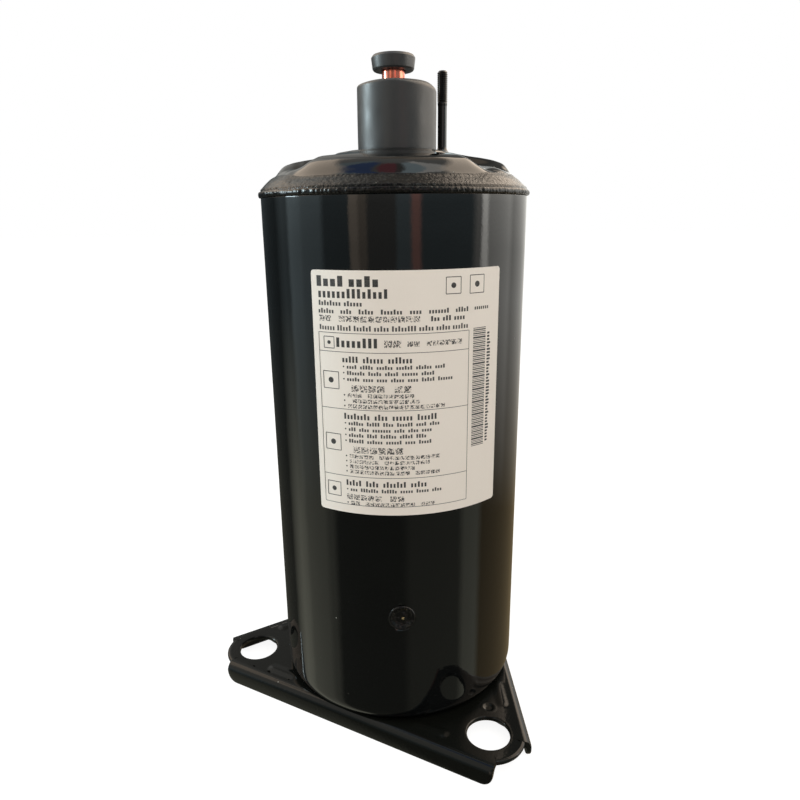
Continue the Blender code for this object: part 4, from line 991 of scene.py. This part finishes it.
def label():
    """A paper rating label with generic print: rows of blocks, ruled boxes and a strip of even bars."""
    sheet = soften(block(0.0, 0.0, LABEL_W, LABEL_H), 1.6, 5)
    sheet = slab(sheet, SHELL_R + 0.07, LABEL_R)
    piece("label_sheet", sheet, PAPER, ["nameplate_label"], angle=30.0)
    bold, fine, glyphs = [], [], []
    pick = random.Random(11)

    def words(into, u, v, stop, height, smallest, largest, gap, width=0.40):
        """A row of word-length groups of small upright blocks."""
        while u < stop - smallest:
            end = min(u + pick.uniform(smallest, largest), stop)
            while u < end:
                into.append(block(u, v, height * width, height * pick.choice((0.7, 0.7, 1.0))))
                u += height * (width + 0.24)
            u += gap

    def squares(into, u, v, stop, size, gap):
        """A row of small blocks, as of square characters."""
        while u + size <= stop:
            if pick.random() > 0.06:
                into.append(block(u, v + size * 0.04, size, size * 0.92))
            u += size + gap

    def rule(into, u0, v0, u1, v1, width=0.22):
        if v0 == v1:
            into.append(block(u0, v0 - width / 2, u1 - u0, width))
        else:
            into.append(block(u0 - width / 2, v0, width, v1 - v0))

    def symbol(into, u, v, size):
        """A plain square frame with a dot in it."""
        for step in (0, size):
            rule(into, u, v + step, u + size, v + step, 0.3)
        for step in (0, size):
            rule(into, u + step, v, u + step, v + size, 0.3)
        into.append(arc(size * 0.17, 0, 330, 11, (u + size / 2, v + size / 2)))

    left, right = 2.7, 65.1
    words(bold, left, 94.4, left + 26, 4.1, 11, 13, 1.6, 0.52)
    words(bold, left + 0.6, 90.0, left + 30, 3.6, 27, 30, 1.1, 0.34)
    words(fine, left + 0.6, 87.0, left + 24, 2.0, 7, 10, 1.0)
    words(fine, left + 0.4, 84.0, 64, 1.9, 4, 9, 2.6)
    words(fine, 67.6, 84.3, 75.5, 1.7, 7, 8, 1.0)
    squares(glyphs, left + 0.6, 80.8, 45, 2.5, 0.45)
    words(bold, 48.5, 81.0, 65, 2.0, 3, 6, 1.0)
    words(fine, left + 0.6, 77.4, 64.5, 2.1, 5, 10, 0.8, 0.34)
    symbol(bold, 54.6, 91.2, 6.4)
    symbol(bold, 65.2, 90.9, 7.0)

    rows = [76.4, 68.9, 45.5, 16.6, 3.8]
    for v in rows:
        rule(bold, left, v, right, v)
    for u in (left, right):
        rule(bold, u, rows[-1], u, rows[0])
    symbol(bold, left + 2.4, 70.2, 4.6)
    words(bold, left + 8, 70.8, left + 25, 3.8, 15, 16, 1.8, 0.34)
    squares(glyphs, left + 27.5, 70.9, left + 35, 3.1, 0.4)
    squares(glyphs, left + 36.5, 71.3, right - 1.5, 2.2, 0.35)
    for top, low, lines in zip(rows[1:], rows[2:], (3, 4, 1)):
        full = lines > 1
        size = 7.0 if full else 6.2
        symbol(bold, left + 1.5, (top + low) / 2 - size / 2, size)
        u = left + 10.4
        v = top - 4.1
        words(bold, u, v, u + pick.uniform(30, 38), 2.5, 5, 10, 1.6, 0.32)
        for _ in range(lines):
            v -= 2.5
            bold.append(arc(0.35, 0, 315, 7, (u + 0.4, (v + 0.8))))
            words(fine, u + 1.8, v, u + pick.uniform(32, 45), 1.6, 3, 7, 1.2, 0.44)
        v -= 4.5 if full else 3.9
        squares(glyphs, u, v, u + pick.uniform(22, 30), 3.0 if full else 2.6, 0.5)
        for _ in range(lines):
            v -= 2.25
            bold.append(arc(0.35, 0, 315, 7, (u + 0.4, (v + 0.9))))
            squares(glyphs, u + 1.8, v, u + pick.uniform(30, 44), 1.75, 0.35)

    strip_left, strip_right = 67.2, 73.8
    v = 27.0
    for k in range(66):
        width = (0.28, 0.5, 0.28, 0.28, 0.72, 0.28, 0.5)[k % 7]
        bold.append(block(strip_left, v, strip_right - strip_left, width))
        v += width + 0.36
    v = 28
    while v < 74:
        bold.append(block(74.7, v, 1.9 * pick.choice((0.7, 1.0)), 0.8))
        v += 1.35
    for name, shapes, finish in (("label_print", bold, INK), ("label_fine_print", fine, FINE_INK),
                                 ("label_glyphs", glyphs, GLYPH_INK)):
        forms = [slab(shape, LABEL_R + 0.004, LABEL_R + 0.02) for shape in shapes]
        piece(name, merged(*forms), finish, angle=30.0)


# ------------------------ fittings on the cap

def lathed(name, profile, radius, finish, stands_for, at, body=HOUSING, steps=96, closed=True):
    """A turned piece with its corners rounded, upright at a place."""
    form = revolve(soften(profile, radius, 5, closed=closed), steps, closed=closed)
    return piece(name, upright(form, at), finish, stands_for, body)


def discharge_parts():
    """The tube out of the cap with its brazed collar, and the thick sleeve round it."""
    pipe_at = centre("discharge_tube")
    low, high = box("discharge_tube")
    bore = TUBE_R - 0.8
    tube = divided([(bore, high.z), (TUBE_R, high.z), (TUBE_R, low.z), (bore, low.z)], 2.0)
    lathed("discharge_pipe", tube, 0.25, COPPER, ["discharge_tube"], pipe_at)
    low, high = box("discharge_sleeve")
    r, bore, at = half_width("discharge_sleeve"), TUBE_R + 1.8, centre("discharge_sleeve")
    shape = [(bore, high.z - 0.2), (r - 3.0, high.z), (r, high.z - 1.0), (r, low.z), (9.6, low.z),
             (9.6, low.z + 2.7), (bore, low.z + 2.7)]
    radii = [0.6, 3.0, 1.2, 0.6, 0.3, 0.3, 0.3]
    points, faces = revolve(divided(soften(shape, radii, 6), 1.0), 128)
    for p in points:
        # A softer shoulder on the +X side, and a body a little out of round.
        radius = hypot(p[0], p[1])
        edge = min(max((radius - r + 5.5) / 5.5, 0.0), 1.0)
        worn = 2.0 * edge ** 3 * max(p[0] / radius, 0.0) * float(fade(p[2], high.z - 9, high.z - 2))
        p[2] += 0.2 * ripple(*p, 14, 6.0) * float(fade(p[2], low.z + 12, high.z)) - worn
        p[:2] *= 1 + 0.10 * ripple(*p, 11, 1.0) / radius
    piece("sleeve_grommet", upright((points, faces), at), RUBBER, ["discharge_sleeve"])
    low, high = box("discharge_collar")
    bore, r = TUBE_R + 0.25, half_width("discharge_collar")
    ring = [(bore, high.z), (r, high.z - 1.2), (r, low.z), (bore, low.z)]
    lathed("brazed_collar", ring, 0.4, STEEL, ["discharge_collar"], pipe_at)


def rubber_plug(name, cad, roof):
    """A flared rubber cap with a slightly dished top, on the body that has its CAD node's name."""
    low, high = box(cad)
    bore = TUBE_R + 0.25
    shape = [(0.0, high.z - 0.3), (7.0, high.z - 0.16), (8.7, high.z), (9.5, high.z - 1.1),
             (8.95, low.z + 0.6), (8.5, low.z), (bore, low.z), (bore, roof), (0.0, roof)]
    radii = [0.0, 1.2, 0.35, 0.45, 0.3, 0.25, 0.3, 0.2, 0.0]
    lathed(name, shape, radii, RUBBER, [cad], centre(cad), cad, closed=False)


def stud():
    """The earth stud: a plain shank with a rolled thread on top and a weld fillet at its foot."""
    low, high = box("terminal_stud")
    at = centre("terminal_stud")
    major, depth, pitch, shank, foot, steps = 2.35, 0.48, 0.8, 2.05, 3.4, 64
    thread_from = high.z - 13.0
    levels = [*np.arange(low.z, high.z - NEAR, 0.1), high.z]
    points = []
    for z in levels:
        into = float(fade(z, thread_from - 0.5, thread_from + 0.6))
        collar = 0.12 * float(fade(z, thread_from - 1.4, thread_from - 0.9))
        collar *= float(fade(z, thread_from + 0.1, thread_from - 0.3))
        core = shank + (foot - shank) * float(fade(z, low.z + 3.6, low.z)) ** 2 + collar
        for k in range(steps):
            turn = k / steps
            wave = abs(((z / pitch - turn) % 1.0) * 2 - 1)
            thread = major - depth * float(fade(wave, 0.1, 0.9)) - shank
            r = min(core + thread * into, major - 0.75 + (high.z - z) * 0.9)
            points.append((at.x + r * cos(2 * pi * turn), at.y + r * sin(2 * pi * turn), z))
    rings = rings_of(len(levels), steps)
    faces = bridge(rings) + [tuple(rings[0]), tuple(rings[-1])]
    piece("earth_stud", (points, faces), STUD_PAINT, ["terminal_stud"], angle=60.0)


# ------------------------ terminal

def terminal():
    """The steel cup behind the tube, with three pins held in fused glass."""
    low, high = box("terminal_cup")
    at, r = centre("terminal_cup"), half_width("terminal_cup")
    inner, top = r - 1.8, high.z
    shape = [(0.0, top), (r - 2.0, top), (r, top - 1.6), (r, low.z), (inner, low.z), (inner, top - 2.4),
             (0.0, top - 2.4)]
    radii = [0.0, 1.6, 1.2, 0.5, 0.3, 0.6, 0.0]
    cup = lathed("glass_to_metal_cup", shape, radii, STEEL, ["terminal_cup"], at, closed=False)
    for i in (1, 2, 3):
        pin, bead = f"terminal_pin_{i}", f"terminal_bead_{i}"
        at, pin_r, bead_r = centre(pin), half_width(pin), half_width(bead)
        drill(cup, upright(rod(bead_r + 0.15, top - 5, top + 1, 48), at))
        bottom, crown = low_z(bead), high_z(bead)
        glass = [(pin_r + 0.1, crown), (bead_r - 0.9, crown - 0.9), (bead_r, crown - 1.5), (bead_r, bottom),
                 (pin_r + 0.1, bottom)]
        lathed(f"glass_bead_{i}", glass, 0.5, GLASS, [bead], at, steps=48)
        down, up = low_z(pin), high_z(pin)
        shaft = [(0.0, up), (pin_r * 0.8, up), (pin_r, up - 0.5), (pin_r, down + 0.5), (pin_r * 0.8, down),
                 (0.0, down)]
        shaft = divided(shaft, 2.0, closed=False)
        lathed(f"contact_pin_{i}", shaft, 0.3, BRASS, [pin], at, steps=40, closed=False)


# ------------------------ accumulator and its mounting

ACC_AT = centre("suction_inlet_tube")[:2]
ACC_R = half_width("accumulator_shell")
STRAP_T = 1.5


def accumulator():
    """The suction accumulator: a spun can with rolled necks, its inlet tube, and the pipe into the pump."""
    top, bottom = high_z("accumulator_shell") - 5, low_z("accumulator_shell") + 5
    neck, lip, wall, dome = TUBE_R + 0.35, 2.2, 1.6, 9.0

    def side(offset):
        """The can's wall from its upper neck to its lower neck, drawn in by offset."""
        start, reach = neck + lip + 3, ACC_R - offset - neck - lip - 3
        swing = [radians(7.5 * k) for k in range(1, 13)]
        upper = [(start + reach * sin(t), top - offset - dome * (1 - cos(t))) for t in swing]
        return upper + [(r, top + bottom - z) for r, z in reversed(upper)]

    rolled = neck + lip
    outside = [(rolled, top + 5), (rolled, top), *side(0.0), (rolled, bottom), (rolled, bottom - 5)]
    inside = [(neck, bottom - 5), (neck, bottom + wall), *side(wall)[::-1], (neck, top - wall),
              (neck, top + 5)]
    radii = [0.5, 1.6] + [0.0] * 24 + [1.6, 0.5, 0.3, 0.0] + [0.0] * 24 + [0.0, 0.3]
    points, faces = revolve(divided(soften(outside + inside, radii, 5), 3.0), 160)
    for p in points:
        radius = hypot(p[0], p[1])
        if radius > 10:
            p[:2] *= 1 + 0.03 * ripple(p[0], p[1], p[2] * 0.3, 14, 3.0) / radius
    can = upright((points, faces), ACC_AT)
    piece("accumulator_can", can, SHELL_PAINT, ["accumulator_shell"], angle=50.0)

    low, high = box("suction_inlet_tube")
    r = half_width("suction_inlet_tube")
    pipe = divided([(r - 0.75, high.z), (r, high.z), (r, low.z), (r - 0.75, low.z)], 2.0)
    lathed("suction_stub", pipe, 0.25, COPPER, ["suction_inlet_tube"], ACC_AT)
    rubber_plug("suction_cap", "suction_plug", high.z + 0.25)

    bend, out = 18.0, hypot(*ACC_AT)
    path = [(out, z) for z in np.linspace(high_z("suction_elbow"), PLUG_WELD_Z + bend + 4, 22)]
    path += [(out - bend + bend * cos(t), PLUG_WELD_Z + bend - bend * sin(t))
             for t in np.radians(np.linspace(0, 90, 25))]
    path += [(r, PLUG_WELD_Z) for r in np.linspace(out - bend - 4, 25, 10)]
    line = [(*polar(r, SUCTION_ANGLE), z) for r, z in path]
    elbow = sweep(line, TUBE_R - 0.05, 40, TUBE_R - 0.8)
    piece("suction_pipe", elbow, COPPER, ["suction_elbow"])

    bore = TUBE_R + 0.3
    ring = revolve(soften([(bore, 6.0), (7.2, 6.0), (8.5, 3.6), (8.5, -3.0), (bore, -3.0)], 0.8, 5), 72)
    ring = moved(ring, radial_place(SUCTION_ANGLE, SHELL_R, PLUG_WELD_Z))
    piece("suction_joint", ring, STEEL, ["suction_joint_ring"])


def accumulator_mount():
    """A saddle welded to the shell, and a strap screwed to its ears round the accumulator."""
    near, ear, ear_half = ACC_R + 0.3, 9.0, 62.0
    far, out = near + STRAP_T, hypot(*ACC_AT)
    low, high = box("accumulator_strap")
    spin = Matrix.Rotation(radians(SUCTION_ANGLE), 4, 'Z')
    axis = (out, 0.0)

    def tab(angle, side):
        """The outer corners of an ear that stands off the band, on one side of its radius."""
        base = Vector(polar(1.0, angle))
        across = Vector(polar(1.0, angle + 90 * side)) * STRAP_T
        corners = [base * far + across, base * (far + ear) + across, base * (far + ear)]
        return [tuple(Vector(axis) + corner) for corner in corners]

    upper, lower, foot_r, step = 180 - ear_half, 180 + ear_half, SHELL_R + 0.3, 1.4
    ear_1, ear_2 = tab(upper, 1), tab(lower, -1)
    saddle = arc(near, upper, lower, 48, axis) + ear_2[::-1] + arc(far, lower - 6, 194, 12, axis)
    saddle += [(foot_r + 2, -7.5)] + arc(foot_r + 2, -9, -16, 4) + arc(foot_r, -16, 16, 24)
    saddle += arc(foot_r + 2, 16, 9, 4) + [(foot_r + 2, 7.5)] + arc(far, 166, upper + 6, 12, axis) + ear_1
    head, tail = tab(upper - step, -1), tab(lower + step, 1)
    strap = arc(near, upper - step, lower + step - 360, 90, axis) + tail[::-1]
    strap += arc(far, lower + step + 6 - 360, upper - step - 6, 84, axis) + head
    made = []
    for name, outline, cad in (("saddle_bracket", saddle, "accumulator_bracket"),
                               ("clamp_strap", strap, "accumulator_strap")):
        form = moved(extrude(outline, low.z, high.z, 0.3), spin)
        made.append(piece(name, form, SHELL_PAINT, [cad], angle=35.0))
    face = STRAP_T + 0.3
    shape = [(0.0, face + 1.2), (1.5, face + 1.2), (1.8, face + 2.5), (2.6, face + 2.6), (3.6, face + 1.6),
             (3.6, face), (2.0, face), (2.0, -7), (0.0, -7)]
    screw = revolve(soften(shape, 0.4, 4, closed=False), 48, closed=False)
    for i, angle in enumerate((upper, lower), 1):
        base = Vector((*polar(1.0, angle), 0.0))
        across = Vector((*polar(1.0, angle + (90 if i == 1 else -90)), 0.0))
        spot = Vector((*axis, (low.z + high.z) / 2)) + base * (far + ear * 0.55)
        place = spin @ Matrix.Translation(spot) @ across.to_track_quat('Z', 'Y').to_matrix().to_4x4()
        for plate in made:
            drill(plate, moved(rod(2.25, -9, 9, 32), place))
        piece(f"clamp_screw_{i}", moved(screw, place), STEEL, [f"strap_screw_{i}"])


can_body()
domed_cap()
cap_weld()
plug_welds()
pressed_base()
label()
discharge_parts()
rubber_plug("discharge_cap", "discharge_plug", high_z("discharge_tube") + 0.25)
stud()
terminal()
accumulator()
accumulator_mount()


# ------------------------ CAD nodes that stay

def dress(finish, *names):
    """Give CAD nodes a material."""
    for name in names:
        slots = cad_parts[name].data.materials
        slots.clear()
        slots.append(finish)


dress(STEEL, "accumulator_screen", "valve_stop", "valve_rivet", "discharge_muffler", "vane_spring",
      "oil_pickup", *(f"pump_bolt_{i}" for i in range(1, 6)))
dress(BRASS, "balance_weight_top", "balance_weight_bottom")
dress(CAST_IRON, "crankshaft", "cylinder_block", "main_bearing", "sub_bearing")
dress(HARD_STEEL, "rolling_piston", "vane", "discharge_reed")
dress(LAMINATION, "stator_core", "rotor_core")
dress(WINDING, "stator_winding")
dress(ALUMINIUM, "rotor_end_ring_top", "rotor_end_ring_bottom")
dress(INSULATION, "lead_connector", *(f"lead_wire_{i}" for i in (1, 2, 3)))
